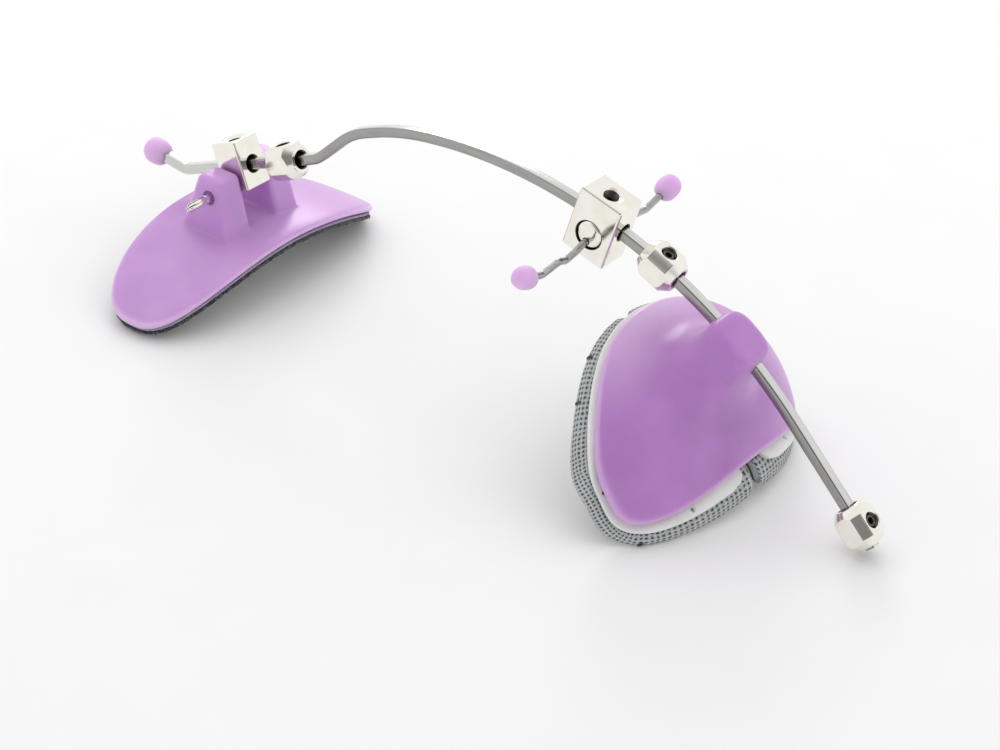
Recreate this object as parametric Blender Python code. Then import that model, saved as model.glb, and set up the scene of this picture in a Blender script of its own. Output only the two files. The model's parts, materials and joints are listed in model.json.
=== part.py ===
"""Reverse-pull face mask: a forehead rest, a crossbar and a chin cup on one bent square bar.

It lies as it is put down on a table, pads below and the bar arching over.  X runs across the
face, Y along the bar from forehead to chin, Z up.  Every piece on the bar is built in the bar's
own frame: x across, u along the bar towards the chin, h outwards, away from the face.
All named sizes are millimetres and degrees; MM turns them into Blender's metres.
"""

import math

import bmesh
import bpy
from mathutils import Matrix, Vector

MM = 0.001
GAP = 0.3                       # clearance between touching pieces

# The bar: a square section bent in one plane
BAR_SIDE = 2.5
BAR_EDGE = 0.3                  # chamfer along its four edges
BAR_START = (0.07, 0.41)        # its axis at the crossbar block, along and up
BAR_HEADING = -14.9             # slope there, falling towards the chin
ARC_RADIUS = 122.0              # the long even bend that crossbar and chin cup slide on
ARC_TO_FOREHEAD = 50.0
ARC_TO_CHIN = 62.5
CHIN_RUN = 31.6                 # straight run at the chin end
BROW_RADIUS = 65.0
BROW_ANGLE = 14.0
BROW_RUN = 2.7
DROP_RADIUS = 21.0
DROP_ANGLE = 22.5
DROP_RUN = 8.8
RETURN_RADIUS = 9.0
RETURN_ANGLE = 21.7
FOREHEAD_RUN = 43.5             # straight run that the forehead block slides on
KINK_RADIUS = 4.0
KINK_ANGLE = 30.8
KINK_RUN = 8.2
BAR_STEP = 5.0                  # longest stretch between two cross sections

# Where the pieces sit, as arc length from the middle of the crossbar block
FOREHEAD_BLOCK_AT = -114.15
UPPER_COLLAR_AT = -98.15
MIDDLE_COLLAR_AT = 17.3
CHIN_BOSS_AT = 40.9
LOWER_COLLAR_STUB = 0.7         # bar that stands out below the lower collar

# Blocks
BORE_RADIUS = 2.1
CROSS_BLOCK_LENGTH = 11.5
CROSS_BLOCK_WIDTH = 8.5
CROSS_BLOCK_TOP = 7.2           # outer face above the bar's axis
CROSS_BLOCK_BOTTOM = -9.0
CROSS_BLOCK_EDGE = 0.9
HEAD_BLOCK_LENGTH = 8.0
HEAD_BLOCK_WIDTH = 8.3
HEAD_BLOCK_TOP = 6.8
HEAD_BLOCK_BOTTOM = -5.75
HEAD_BLOCK_EDGE = 0.6

# Collars: square stock with turned corners and coned ends
COLLAR_LENGTH = 9.6
COLLAR_SIDE = 8.5
COLLAR_CORNER_RADIUS = 5.1
COLLAR_END_RADIUS = 3.2
COLLAR_CONE = 2.2

# Grub screws with a hexagon socket
SCREW_HOLE_RADIUS = 1.8
SCREW_RADIUS = SCREW_HOLE_RADIUS - GAP
SCREW_SOCKET = 0.85             # radius of the hexagon's corners
COLLAR_SCREW_LENGTH = 2.0
BLOCK_SCREW_LENGTH = 3.6
COUNTERSINK_RADIUS = 3.0
COUNTERSINK_DEPTH = 0.5

# Crossbar: a barrel across the block, a bent wire arm in each end and a cap on each arm
BARREL_DROP = 2.8               # its axis below the bar's axis
BARREL_RADIUS = 3.2
BARREL_NECK = 1.15              # turned down where the bar passes over it
BARREL_DOME = 0.35
WIRE_RADIUS = 0.82
WIRE_DROP = 1.8                # the arms sit off the barrel's axis
ARM_DEPTH = 2.2                 # how far each arm is let into the barrel
# bends of one arm as (distance across, height above the bar's axis)
ARM_BENDS = ((5.0, -4.6), (7.6, -6.1), (11.0, -7.0), (13.8, -5.8), (19.8, -6.8), (24.2, -5.1))
CAP_CENTRE = (27.2, -3.8)
CAP_RADIUS = 2.7
CAP_HALF_LENGTH = 3.0

# Ball on the bar's forehead end
BALL_RADIUS = 3.3
BALL_SEAT = 2.6                 # length of bar inside the ball

# Forehead rest: a plate bent round the forehead, two posts, foam and a soft pad
SHELL_FROM_PIN = (0.0, -8.7)    # crest of its outer face, along and up from the pin's axis
SHELL_BEND = 80.0
SHELL_HALF_WIDTH = 44.4         # along the bend
SHELL_HALF_HEIGHT = 16.6
SHELL_POWER = 2.5               # how square the outline is
SHELL_SWEEP = 1.56              # ends lie nearer the chin by this
SHELL_THICK = 2.0
FOAM_THICK = 0.6
PAD_THICK = 0.7
PAD_PROUD = 0.8                 # the soft pad stands out round the plate

POST_FOOT_HALF = 8.15           # half length of a post along Y at its foot, and at its top
POST_TOP_HALF = 3.7
POST_INNER = 4.7
POST_OUTER_TOP = 11.6
POST_OUTER_BASE = 13.0
POST_ABOVE_PIN = 4.9            # level of the post tops over the pin's axis
POST_SHIFT = -0.4               # posts stand a little towards the crown
POST_EDGE = 1.3

PIN_RADIUS = 1.1
PIN_AT = (-1.6, -4.1)           # along and above the bar's axis, in the forehead block
PIN_NEAR = 19.5
PIN_FAR = 13.4
PIN_HOLE_RADIUS = PIN_RADIUS + GAP

# Chin cup: a patch of a doubly bent surface, a boss on the bar, a liner and a padded mesh
CUP_FROM_BAR = (-0.95, -51.1)   # centre of its sagittal bend, along and out from the bar's axis
CUP_BEND = 40.8                 # sagittal radius of the outer face
CUP_SIDE_BEND = 52.5            # radius across the face
CUP_HALF_WIDTH = 38.0
CUP_TO_LIP = 19.7               # from the middle of the patch to each edge
CUP_TO_CHIN = 23.2
CUP_SWEEP = 14.3                # the sides reach further down than the middle
CUP_POWER = 2.8
CUP_THICK = 1.9
LINER_THICK = 1.2
CUP_PAD_THICK = 2.4
LINER_GROWTH = (1.9, 2.8, 3.9)  # past the cup's side, its lip and its lower edge
CUP_PAD_GROWTH = (4.55, 4.5, 8.7)
RIM_CLEAR = 1.3                 # liner and pad lie flat this far past the cup's rim, then curl outwards
CURL_HEIGHT = 3.1
CURL_REACH = 3.0
SLIT_WIDTH = 1.4
SLIT_DEPTH = 8.0

BOSS_TOP = 2.9                  # above the bar's axis
# share of the height, half width across, half length along
BOSS_RINGS = ((0.0, 15.0, 12.6), (0.08, 12.6, 10.8), (0.19, 10.4, 9.3), (0.37, 8.5, 7.9),
              (0.6, 7.2, 7.1), (0.84, 6.5, 6.8), (0.96, 5.7, 6.1), (1.0, 4.5, 5.0))
BOSS_POWER = 3.2

COLOURS = {
    "steel": ((0.62, 0.62, 0.62), 0.22, 1.0),
    "nickel": ((0.78, 0.74, 0.66), 0.14, 1.0),
    "dark_steel": ((0.10, 0.10, 0.10), 0.45, 1.0),
    "lilac": ((0.46, 0.20, 0.55), 0.35, 0.0),
    "pale_lilac": ((0.62, 0.40, 0.72), 0.4, 0.0),
    "foam": ((0.60, 0.55, 0.66), 0.9, 0.0),
    "charcoal": ((0.06, 0.06, 0.07), 0.95, 0.0),
    "white_liner": ((0.80, 0.80, 0.78), 0.55, 0.0),
    "grey_mesh": ((0.28, 0.30, 0.30), 0.9, 0.0),
}

ROUND = 16                      # sides of a round hole or shaft

REST_TILT = 0.3                 # turn about X that sets both pads down on the table


# Starting clean and making objects

def clear_scene():
    for item in list(bpy.data.objects):
        bpy.data.objects.remove(item, do_unlink=True)


def material(name, finish):
    colour, rough, metal = COLOURS[finish]
    mat = bpy.data.materials.new(name)
    mat.use_nodes = True
    shader = mat.node_tree.nodes["Principled BSDF"]
    shader.inputs["Base Color"].default_value = (*colour, 1.0)
    shader.inputs["Roughness"].default_value = rough
    shader.inputs["Metallic"].default_value = metal
    mat.diffuse_color = (*colour, 1.0)
    return mat


def empty(name, world, parent=None):
    """An empty whose place is `world`, a matrix in the mask's own frame, in metres."""
    obj = bpy.data.objects.new(name, None)
    obj.empty_display_size = 0.005
    bpy.context.scene.collection.objects.link(obj)
    obj["world"] = [value for row in world for value in row]
    hang(obj, world, parent)
    return obj


def world_of(obj):
    flat = list(obj["world"])
    return Matrix([flat[i:i + 4] for i in range(0, 16, 4)])


def hang(obj, world, parent):
    obj.parent = parent
    obj.matrix_basis = world_of(parent).inverted() @ world if parent else world


def solid(name, bm, world, parent, finish, smooth=True):
    """Turns a bmesh in millimetres into an object of the scene."""
    bmesh.ops.scale(bm, vec=(MM, MM, MM), verts=bm.verts)
    bmesh.ops.recalc_face_normals(bm, faces=bm.faces)
    mesh = bpy.data.meshes.new(name)
    bm.to_mesh(mesh)
    bm.free()
    obj = bpy.data.objects.new(name, mesh)
    bpy.context.scene.collection.objects.link(obj)
    hang(obj, world, parent)
    if finish:
        mesh.materials.append(material(name, finish))
    if smooth:
        mesh.shade_smooth()
        mesh.set_sharp_from_angle(angle=math.radians(35))
    return obj


def cutter(name, bm, world, parent):
    obj = solid(name, bm, world, parent, None, smooth=False)
    obj.hide_render = True
    obj.display_type = "WIRE"
    return obj


def boolean(obj, other, operation):
    mod = obj.modifiers.new(other.name, "BOOLEAN")
    mod.object = other
    mod.operation = operation
    mod.solver = "EXACT"
    return mod


def bevel(obj, width, segments=2, angle=30):
    mod = obj.modifiers.new("edges", "BEVEL")
    mod.width = width * MM
    mod.segments = segments
    mod.limit_method = "ANGLE"
    mod.angle_limit = math.radians(angle)
    return mod


# Mesh building blocks

def box(x0, x1, y0, y1, z0, z1):
    bm = bmesh.new()
    bmesh.ops.create_cube(bm, size=1.0)
    for v in bm.verts:
        v.co = Vector((x0 if v.co.x < 0 else x1, y0 if v.co.y < 0 else y1, z0 if v.co.z < 0 else z1))
    return bm


def lathe(profile, axis="Z", sides=ROUND, centre=(0.0, 0.0, 0.0)):
    """Turns (radius, place) points round an axis; a radius of nought closes an end."""
    bm = bmesh.new()
    rings = []
    for radius, place in profile:
        if radius == 0.0:
            rings.append([bm.verts.new(on_axis(axis, 0.0, 0.0, place, centre))])
            continue
        ring = []
        for i in range(sides):
            turn = 2 * math.pi * (i + 0.5) / sides
            a, b = radius * math.cos(turn), radius * math.sin(turn)
            ring.append(bm.verts.new(on_axis(axis, a, b, place, centre)))
        rings.append(ring)
    for low, high in zip(rings, rings[1:]):
        bridge(bm, low, high)
    for end in (rings[0], rings[-1]):
        if len(end) > 1:
            bm.faces.new(end)
    return bm


def on_axis(axis, a, b, place, centre):
    point = {"X": (place, a, b), "Y": (b, place, a), "Z": (a, b, place)}[axis]
    return Vector(point) + Vector(centre)


def bridge(bm, low, high):
    """Faces between two closed rings; either may be a single point."""
    count = max(len(low), len(high))
    for i in range(count):
        j = (i + 1) % count
        if len(low) == 1:
            bm.faces.new((low[0], high[j], high[i]))
        elif len(high) == 1:
            bm.faces.new((low[i], low[j], high[0]))
        else:
            bm.faces.new((low[i], low[j], high[j], high[i]))


def cylinder(radius, start, end, axis="Z", sides=ROUND, centre=(0.0, 0.0, 0.0)):
    return lathe(((radius, start), (radius, end)), axis, sides, centre)


def sweep(section, frames):
    """Skins a closed section, (x, h) points, through a list of 4x4 frames, and closes both ends."""
    bm = bmesh.new()
    rings = [[bm.verts.new(frame @ Vector((x, 0.0, h))) for x, h in section] for frame in frames]
    for low, high in zip(rings, rings[1:]):
        bridge(bm, low, high)
    bm.faces.new(rings[0])
    bm.faces.new(rings[-1])
    return bm


def chamfered_square(side, edge):
    half = side / 2
    inner = half - edge
    corners = ((inner, half), (half, inner), (half, -inner), (inner, -half),
               (-inner, -half), (-half, -inner), (-half, inner), (-inner, half))
    return corners


def squircle(turn, power):
    """A point of the unit superellipse at an angle."""
    c, s = math.cos(turn), math.sin(turn)
    reach = (abs(c) ** power + abs(s) ** power) ** (-1.0 / power)
    return c * reach, s * reach


# The bar's path

def bar_bends(to_chin):
    """Stretches from the crossbar block outwards, as (length, curvature)."""
    if to_chin:
        return ((ARC_TO_CHIN, -1 / ARC_RADIUS), (CHIN_RUN, 0.0))
    return ((ARC_TO_FOREHEAD, 1 / ARC_RADIUS),
            (BROW_RADIUS * math.radians(BROW_ANGLE), 1 / BROW_RADIUS),
            (BROW_RUN, 0.0),
            (DROP_RADIUS * math.radians(DROP_ANGLE), 1 / DROP_RADIUS),
            (DROP_RUN, 0.0),
            (RETURN_RADIUS * math.radians(RETURN_ANGLE), -1 / RETURN_RADIUS),
            (FOREHEAD_RUN, 0.0),
            (KINK_RADIUS * math.radians(KINK_ANGLE), -1 / KINK_RADIUS),
            (KINK_RUN, 0.0))


def bar_length(to_chin):
    return sum(length for length, _ in bar_bends(to_chin))


def bar_point(s):
    """Place along and up, and heading, at arc length s from the crossbar block."""
    y, z, heading = *BAR_START, math.radians(BAR_HEADING)
    way = 1.0 if s >= 0 else -1.0
    left = abs(s)
    for length, curve in bar_bends(s >= 0):
        run = min(left, length)
        turn = curve * run
        if curve:
            y += way * (math.sin(heading + turn) - math.sin(heading)) / curve
            z += way * (math.cos(heading) - math.cos(heading + turn)) / curve
        else:
            y += way * run * math.cos(heading)
            z += way * run * math.sin(heading)
        heading += turn
        left -= run
        if left <= 1e-9:
            break
    return y, z, heading


def bar_frame(s):
    """The bar's own frame at s, in millimetres: x across, y along, z outwards."""
    y, z, heading = bar_point(s)
    return Matrix.Translation((0.0, y, z)) @ Matrix.Rotation(heading, 4, "X")


def metres(frame):
    out = frame.copy()
    out.translation = frame.translation * MM
    return out


def bar_stations(start, end):
    """Arc lengths from start to end, close together on the tight bends."""
    marks = {start, end}
    for way in (True, False):
        at = 0.0
        for length, curve in bar_bends(way):
            pieces = max(math.ceil(length / BAR_STEP), math.ceil(abs(curve) * length / math.radians(9)), 1)
            if not curve:
                pieces = 1
            for i in range(pieces + 1):
                s = at + length * i / pieces
                marks.add(s if way else -s)
            at += length
    inside = sorted(s for s in marks if start <= s <= end)
    kept = [inside[0]]
    for s in inside[1:]:
        if s - kept[-1] > 1e-6:
            kept.append(s)
    return kept


def arc_centre():
    """Centre of the long bend, about which whatever slides on it turns."""
    y, z, heading = bar_point(0.0)
    return 0.0, y + ARC_RADIUS * math.sin(heading), z - ARC_RADIUS * math.cos(heading)


# Pieces of the bar

def make_bar(root):
    start, end = -bar_length(False), bar_length(True)
    frames = [bar_frame(s) for s in bar_stations(start, end)]
    bm = sweep(chamfered_square(BAR_SIDE, BAR_EDGE), frames)
    solid("main_rod", bm, Matrix(), root, "steel")


def make_ball(root):
    seat = -bar_length(False)
    frame = metres(bar_frame(seat))
    centre = BALL_SEAT - BALL_RADIUS
    shape = capsule(BALL_RADIUS, BALL_RADIUS + 0.3, "Y", centre)
    ball = solid("rod_end_cap", shape, frame, root, "pale_lilac")
    half = BAR_SIDE / 2 + GAP
    hole = cutter("cut_rod_end", box(-half, half, -GAP, 2 * BALL_RADIUS, -half, half), frame, root)
    boolean(ball, hole, "DIFFERENCE")


def capsule(radius, half_length, axis, middle, steps=4):
    """A slightly drawn out ball, turned about an axis."""
    profile = []
    for i in range(2 * steps + 1):
        turn = math.pi * i / (2 * steps) - math.pi / 2
        reach = 0.0 if i in (0, 2 * steps) else radius * math.cos(turn)
        profile.append((reach, middle + half_length * math.sin(turn)))
    return lathe(profile, axis, 14)


def grub_screw(name, frame, parent, length):
    """A grub screw that stands just clear of the bar's outer face, socket outwards."""
    low = BAR_SIDE / 2 + GAP
    profile = ((SCREW_RADIUS * 0.6, low), (SCREW_RADIUS, low + 0.4), (SCREW_RADIUS, low + length - 0.2),
               (SCREW_RADIUS - 0.2, low + length))
    screw = solid(name, lathe(profile, sides=12), frame, parent, "dark_steel")
    key = cylinder(SCREW_SOCKET, low + length - 1.2, low + length + 1.0, sides=6)
    boolean(screw, cutter("cut_socket_" + name, key, frame, parent), "DIFFERENCE")


def collar(name, s, parent):
    frame = metres(bar_frame(s))
    half = COLLAR_LENGTH / 2
    profile = ((COLLAR_END_RADIUS, -half), (COLLAR_CORNER_RADIUS, -half + COLLAR_CONE),
               (COLLAR_CORNER_RADIUS, half - COLLAR_CONE), (COLLAR_END_RADIUS, half))
    obj = solid(name, lathe(profile, "Y", 32), frame, parent, "nickel")
    side = COLLAR_SIDE / 2
    stock = box(-side, side, -COLLAR_LENGTH, COLLAR_LENGTH, -side, side)
    boolean(obj, cutter("cut_stock_" + name, stock, frame, parent), "INTERSECT")
    bore = cylinder(BORE_RADIUS, -COLLAR_LENGTH, COLLAR_LENGTH, "Y")
    boolean(obj, cutter("cut_bore_" + name, bore, frame, parent), "DIFFERENCE")
    tapped = cylinder(SCREW_HOLE_RADIUS, 0.0, COLLAR_SIDE, sides=16)
    boolean(obj, cutter("cut_tapped_" + name, tapped, frame, parent), "DIFFERENCE")
    grub_screw(name + "_screw", frame, parent, COLLAR_SCREW_LENGTH)


def block(name, frame, parent, length, width, top, bottom, edge):
    """A bevelled block bored for the bar, with a countersunk tapped hole in its outer face."""
    stock = box(-width / 2, width / 2, -length / 2, length / 2, bottom, top)
    obj = solid(name, stock, frame, parent, "nickel")
    bevel(obj, edge)
    bore = cylinder(BORE_RADIUS, -length, length, "Y")
    boolean(obj, cutter("cut_bore_" + name, bore, frame, parent), "DIFFERENCE")
    hole = lathe(((SCREW_HOLE_RADIUS, 0.0), (SCREW_HOLE_RADIUS, top - COUNTERSINK_DEPTH),
                  (COUNTERSINK_RADIUS, top + 0.001), (COUNTERSINK_RADIUS, top + 1.0)), sides=ROUND)
    boolean(obj, cutter("cut_tapped_" + name, hole, frame, parent), "DIFFERENCE")
    grub_screw(name + "_screw", frame, parent, BLOCK_SCREW_LENGTH)
    return obj


# Crossbar

def make_crossbar_block(parent):
    frame = metres(bar_frame(0.0))
    obj = block("crossbar_block", frame, parent, CROSS_BLOCK_LENGTH, CROSS_BLOCK_WIDTH,
                CROSS_BLOCK_TOP, CROSS_BLOCK_BOTTOM, CROSS_BLOCK_EDGE)
    seat = cylinder(BARREL_RADIUS + GAP, -CROSS_BLOCK_WIDTH, CROSS_BLOCK_WIDTH, "X", 24,
                    (0.0, 0.0, -BARREL_DROP))
    boolean(obj, cutter("cut_barrel_seat", seat, frame, parent), "DIFFERENCE")


def barrel_profile():
    """From one domed end to the other, necked where the bar crosses."""
    face = CROSS_BLOCK_WIDTH / 2 - 0.1
    neck = BAR_SIDE / 2 + GAP + 0.15
    half = ((0.0, -face - BARREL_DOME), (BARREL_RADIUS * 0.55, -face - BARREL_DOME * 0.75),
            (BARREL_RADIUS * 0.9, -face - BARREL_DOME * 0.2), (BARREL_RADIUS, -face + 0.25),
            (BARREL_RADIUS, -neck), (BARREL_NECK, -neck))
    return half + tuple((radius, -place) for radius, place in reversed(half))


def make_crossbar(parent, axis_frame):
    """The barrel, its two arms and their caps; axis_frame lies on the barrel's axis."""
    frame = metres(axis_frame)
    barrel = solid("crossbar_barrel", lathe(barrel_profile(), "X", 22), frame, parent, "nickel")
    for way, side in ((1, "near"), (-1, "far")):
        start = CROSS_BLOCK_WIDTH / 2 - ARM_DEPTH
        hole = cylinder(WIRE_RADIUS + GAP, way * (start - GAP), way * CROSS_BLOCK_WIDTH, "X", 14,
                        (0.0, 0.0, -WIRE_DROP))
        boolean(barrel, cutter("cut_arm_" + side, hole, frame, parent), "DIFFERENCE")
        wire_arm(side, way, start, frame, parent)
        arm_cap(side, way, frame, parent)


def arm_route(start):
    """Middle line of one arm as (across, height) points from the barrel's axis."""
    first = [(start, -WIRE_DROP)]
    return first + [(x, h + BARREL_DROP) for x, h in ARM_BENDS]


def cap_axis():
    """Cap centre and the arm's last direction, in the barrel's frame."""
    last = arm_route(0.0)[-1]
    centre = Vector((CAP_CENTRE[0], CAP_CENTRE[1] + BARREL_DROP))
    return centre, (centre - Vector(last)).normalized()


def wire_arm(side, way, start, frame, parent):
    centre, aim = cap_axis()
    points = [Vector(p) for p in arm_route(start)]
    points.append(centre + aim * 0.4)
    points = rounded(points, 1.2)
    frames = []
    for i, point in enumerate(points):
        before = points[max(i - 1, 0)]
        after = points[min(i + 1, len(points) - 1)]
        run = (after - before).normalized()
        turn = Matrix(((0.0, way * run.x, -way * run.y, way * point.x), (1.0, 0.0, 0.0, 0.0),
                       (0.0, run.y, run.x, point.y), (0.0, 0.0, 0.0, 1.0)))
        frames.append(turn)
    section = [(WIRE_RADIUS * math.cos(a), WIRE_RADIUS * math.sin(a))
               for a in (2 * math.pi * i / 8 for i in range(8))]
    solid(side + "_hook_arm", sweep(section, frames), frame, parent, "steel")


def rounded(points, reach):
    """Replaces each corner of a polyline by a short bend."""
    out = [points[0]]
    for before, corner, after in zip(points, points[1:], points[2:]):
        start = corner + (before - corner).normalized() * reach
        end = corner + (after - corner).normalized() * reach
        for t in (0.0, 0.5, 1.0):
            out.append(start.lerp(corner, t).lerp(corner.lerp(end, t), t))
    out.append(points[-1])
    return out


def arm_cap(side, way, frame, parent):
    centre, aim = cap_axis()
    tilt = math.atan2(aim.y, aim.x)
    place = Matrix.Translation((way * centre.x * MM, 0.0, centre.y * MM))
    turn = Matrix.Rotation(-tilt if way > 0 else math.pi + tilt, 4, "Y")
    cap_frame = frame @ place @ turn
    shape = capsule(CAP_RADIUS, CAP_HALF_LENGTH, "X", 0.0)
    cap = solid(side + "_hook_cap", shape, cap_frame, parent, "pale_lilac")
    hole = cylinder(WIRE_RADIUS + GAP, -CAP_HALF_LENGTH - 1.0, 0.4 + GAP, "X", 12)
    boolean(cap, cutter("cut_cap_" + side, hole, cap_frame, parent), "DIFFERENCE")


# Forehead rest

def pin_frame():
    """On the pin's axis, level with the table, so that the rest is built level."""
    at = bar_frame(FOREHEAD_BLOCK_AT) @ Vector((0.0, PIN_AT[0], PIN_AT[1]))
    return Matrix.Translation(at)


def make_forehead_block(parent):
    frame = metres(bar_frame(FOREHEAD_BLOCK_AT))
    obj = block("forehead_block", frame, parent, HEAD_BLOCK_LENGTH, HEAD_BLOCK_WIDTH,
                HEAD_BLOCK_TOP, HEAD_BLOCK_BOTTOM, HEAD_BLOCK_EDGE)
    hole = cylinder(PIN_HOLE_RADIUS, -HEAD_BLOCK_WIDTH, HEAD_BLOCK_WIDTH, "X", 16, (0.0, *PIN_AT))
    boolean(obj, cutter("cut_pin_block", hole, frame, parent), "DIFFERENCE")


def shell_crest():
    """Middle of the plate's outer face, under the pin."""
    return pin_frame().translation + Vector((0.0, *SHELL_FROM_PIN))


def shell_point(a, b, inset):
    """A point of the forehead plate: a along the bend, b along the bar, inset below its outer face."""
    turn = a / SHELL_BEND
    radius = SHELL_BEND - inset
    return shell_crest() + Vector((radius * math.sin(turn), b, radius * math.cos(turn) - SHELL_BEND))


def shell_outline(growth):
    def place(x, y):
        half_width = SHELL_HALF_WIDTH + growth
        return x * half_width, y * (SHELL_HALF_HEIGHT + growth) + SHELL_SWEEP * x * x
    return place


def cup_centre():
    """Centre of the cup's sagittal bend, placed from the bar at the boss."""
    return bar_frame(CHIN_BOSS_AT) @ Vector((0.0, *CUP_FROM_BAR))


def cup_point(a, b, inset):
    """A point of the chin cup's patch: a across the face, b down the face, inset below its outer face."""
    across = a / CUP_SIDE_BEND
    down = -bar_point(CHIN_BOSS_AT)[2] + b / CUP_BEND
    reach = CUP_BEND - CUP_SIDE_BEND * (1 - math.cos(across))
    point = Vector((CUP_SIDE_BEND * math.sin(across), reach * math.sin(down), reach * math.cos(down)))
    normal = Vector((math.sin(across), math.cos(across) * math.sin(down), math.cos(across) * math.cos(down)))
    return cup_centre() + point - normal * inset


def cup_outline(growth):
    side, lip, lower = growth

    def place(x, y):
        half = CUP_TO_CHIN + lower if y > 0 else CUP_TO_LIP + lip
        return x * (CUP_HALF_WIDTH + side), y * half + CUP_SWEEP * x * x
    return place


def past_rim(a, b):
    """How far a place on the patch lies beyond the cup's own rim."""
    x = a / CUP_HALF_WIDTH
    y = b - CUP_SWEEP * x * x
    y /= CUP_TO_CHIN if y > 0 else CUP_TO_LIP
    share = (abs(x) ** CUP_POWER + abs(y) ** CUP_POWER) ** (1 / CUP_POWER)
    return math.hypot(a, b) * (1 - 1 / share) if share > 1 else 0.0


def curled_point(a, b, inset):
    """A point of the liner or the pad, which curl outwards round the cup's rim."""
    beyond = max(0.0, past_rim(a, b) - RIM_CLEAR - 0.2)
    return cup_point(a, b, inset - CURL_HEIGHT * (1 - math.exp(-beyond / CURL_REACH)))


def skirt(growth, shares):
    """Outlines between the flat part of a layer and its edge."""
    return [cup_outline([RIM_CLEAR + (g - RIM_CLEAR) * share for g in growth]) for share in shares]


def patch(point, outline, power, top, thick, columns, rows, wider=()):
    """A plate over a rounded outline, between two insets of a bent surface, with a rounded rim.
    Wider outlines add rings round the plate."""
    bm = bmesh.new()
    spots = [[to_squircle(2 * i / columns - 1, 2 * j / rows - 1, power) for i in range(columns + 1)]
             for j in range(rows + 1)]
    layers = []
    for inset in (top, top + thick):
        layers.append([[bm.verts.new(point(*outline(*spot), inset)) for spot in row] for row in spots])
    for layer in layers:
        for j in range(rows):
            for i in range(columns):
                bm.faces.new((layer[j][i], layer[j][i + 1], layer[j + 1][i + 1], layer[j + 1][i]))
    edge = [(0, i) for i in range(columns)] + [(j, columns) for j in range(rows)]
    edge += [(rows, i) for i in range(columns, 0, -1)] + [(j, 0) for j in range(rows, 0, -1)]
    rims = []
    for inset, layer in zip((top, top + thick), layers):
        rim = [layer[j][i] for j, i in edge]
        for further in wider:
            ring = [bm.verts.new(point(*further(*spots[j][i]), inset)) for j, i in edge]
            bridge(bm, rim, ring)
            rim = ring
        rims.append(rim)
    middle = []
    for high, low in zip(*rims):
        across = (high.co + low.co) / 2
        middle.append(bm.verts.new(across))
    outwards(middle, thick * 0.35)
    bridge(bm, rims[0], middle)
    bridge(bm, middle, rims[1])
    return bm


def outwards(ring, reach):
    """Moves a ring's points away from the ring, in its own surface."""
    centre = sum((v.co for v in ring), Vector()) / len(ring)
    moves = []
    for i, v in enumerate(ring):
        along = (ring[(i + 1) % len(ring)].co - ring[i - 1].co).normalized()
        away = v.co - centre
        away = (away - along * away.dot(along)).normalized()
        moves.append(away * reach)
    for v, move in zip(ring, moves):
        v.co += move


def to_squircle(x, y, power):
    """Maps the square grid onto a rounded outline, keeping its rows and columns."""
    u = x * math.sqrt(1 - y * y / 2)
    v = y * math.sqrt(1 - x * x / 2)
    reach = math.hypot(u, v)
    if reach < 1e-9:
        return 0.0, 0.0
    c, s = u / reach, v / reach
    scale = (abs(c) ** power + abs(s) ** power) ** (-1.0 / power)
    grow = 1 + (scale - 1) * reach ** 2
    return u * grow, v * grow


def post(side):
    """One tapered post with a foot inside the plate."""
    bm = bmesh.new()
    foot = shell_crest().z - SHELL_THICK / 2
    top = pin_frame().translation.z + POST_ABOVE_PIN
    middle = shell_crest().y + POST_SHIFT
    rings = []
    for level, half, outer, sink in ((foot, POST_FOOT_HALF, POST_OUTER_BASE, True),
                                     (top, POST_TOP_HALF, POST_OUTER_TOP, False)):
        ring = []
        for x, y in ((POST_INNER, -half), (outer, -half), (outer, half), (POST_INNER, half)):
            drop = SHELL_BEND - math.sqrt(SHELL_BEND ** 2 - x * x) if sink else 0.0
            ring.append(bm.verts.new((side * x, middle + y, level - drop)))
        rings.append(ring)
    bridge(bm, *rings)
    bm.faces.new(rings[0])
    bm.faces.new(rings[1])
    return bm


def make_forehead_rest(parent):
    root_frame = Matrix()
    outline = shell_outline(0.0)
    shell = solid("forehead_shell", patch(shell_point, outline, SHELL_POWER, 0.0, SHELL_THICK, 20, 8),
                  root_frame, parent, "lilac")
    for side, name in ((1, "near"), (-1, "far")):
        horn = cutter("join_post_" + name, post(side), root_frame, parent)
        bevel(horn, POST_EDGE, 2)
        boolean(shell, horn, "UNION")
    hole = cylinder(PIN_HOLE_RADIUS, -PIN_NEAR, PIN_NEAR, "X", 16, pin_frame().translation)
    boolean(shell, cutter("cut_pin_posts", hole, root_frame, parent), "DIFFERENCE")
    inset = SHELL_THICK + GAP
    solid("forehead_foam", patch(shell_point, shell_outline(-0.3), SHELL_POWER, inset, FOAM_THICK, 16, 4),
          root_frame, parent, "foam")
    inset += FOAM_THICK + GAP
    solid("forehead_pad", patch(shell_point, shell_outline(PAD_PROUD), SHELL_POWER, inset, PAD_THICK, 16, 6),
          root_frame, parent, "charcoal")
    profile = ((0.0, -PIN_FAR), (PIN_RADIUS, -PIN_FAR + 0.2), (PIN_RADIUS, PIN_NEAR - 3.2),
               (PIN_RADIUS - 0.3, PIN_NEAR - 2.9), (PIN_RADIUS - 0.1, PIN_NEAR - 2.2),
               (PIN_RADIUS - 0.15, PIN_NEAR - 0.8), (0.35, PIN_NEAR))
    pin = solid("forehead_pin", lathe(profile, "X", 14, pin_frame().translation), root_frame, parent, "steel")
    at = pin_frame().translation
    slot = box(PIN_NEAR - 1.6, PIN_NEAR + 1.0, at.y - 0.22, at.y + 0.22, at.z - 2.0, at.z + 2.0)
    boolean(pin, cutter("cut_pin_slot", slot, root_frame, parent), "DIFFERENCE")


# Chin cup

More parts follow.
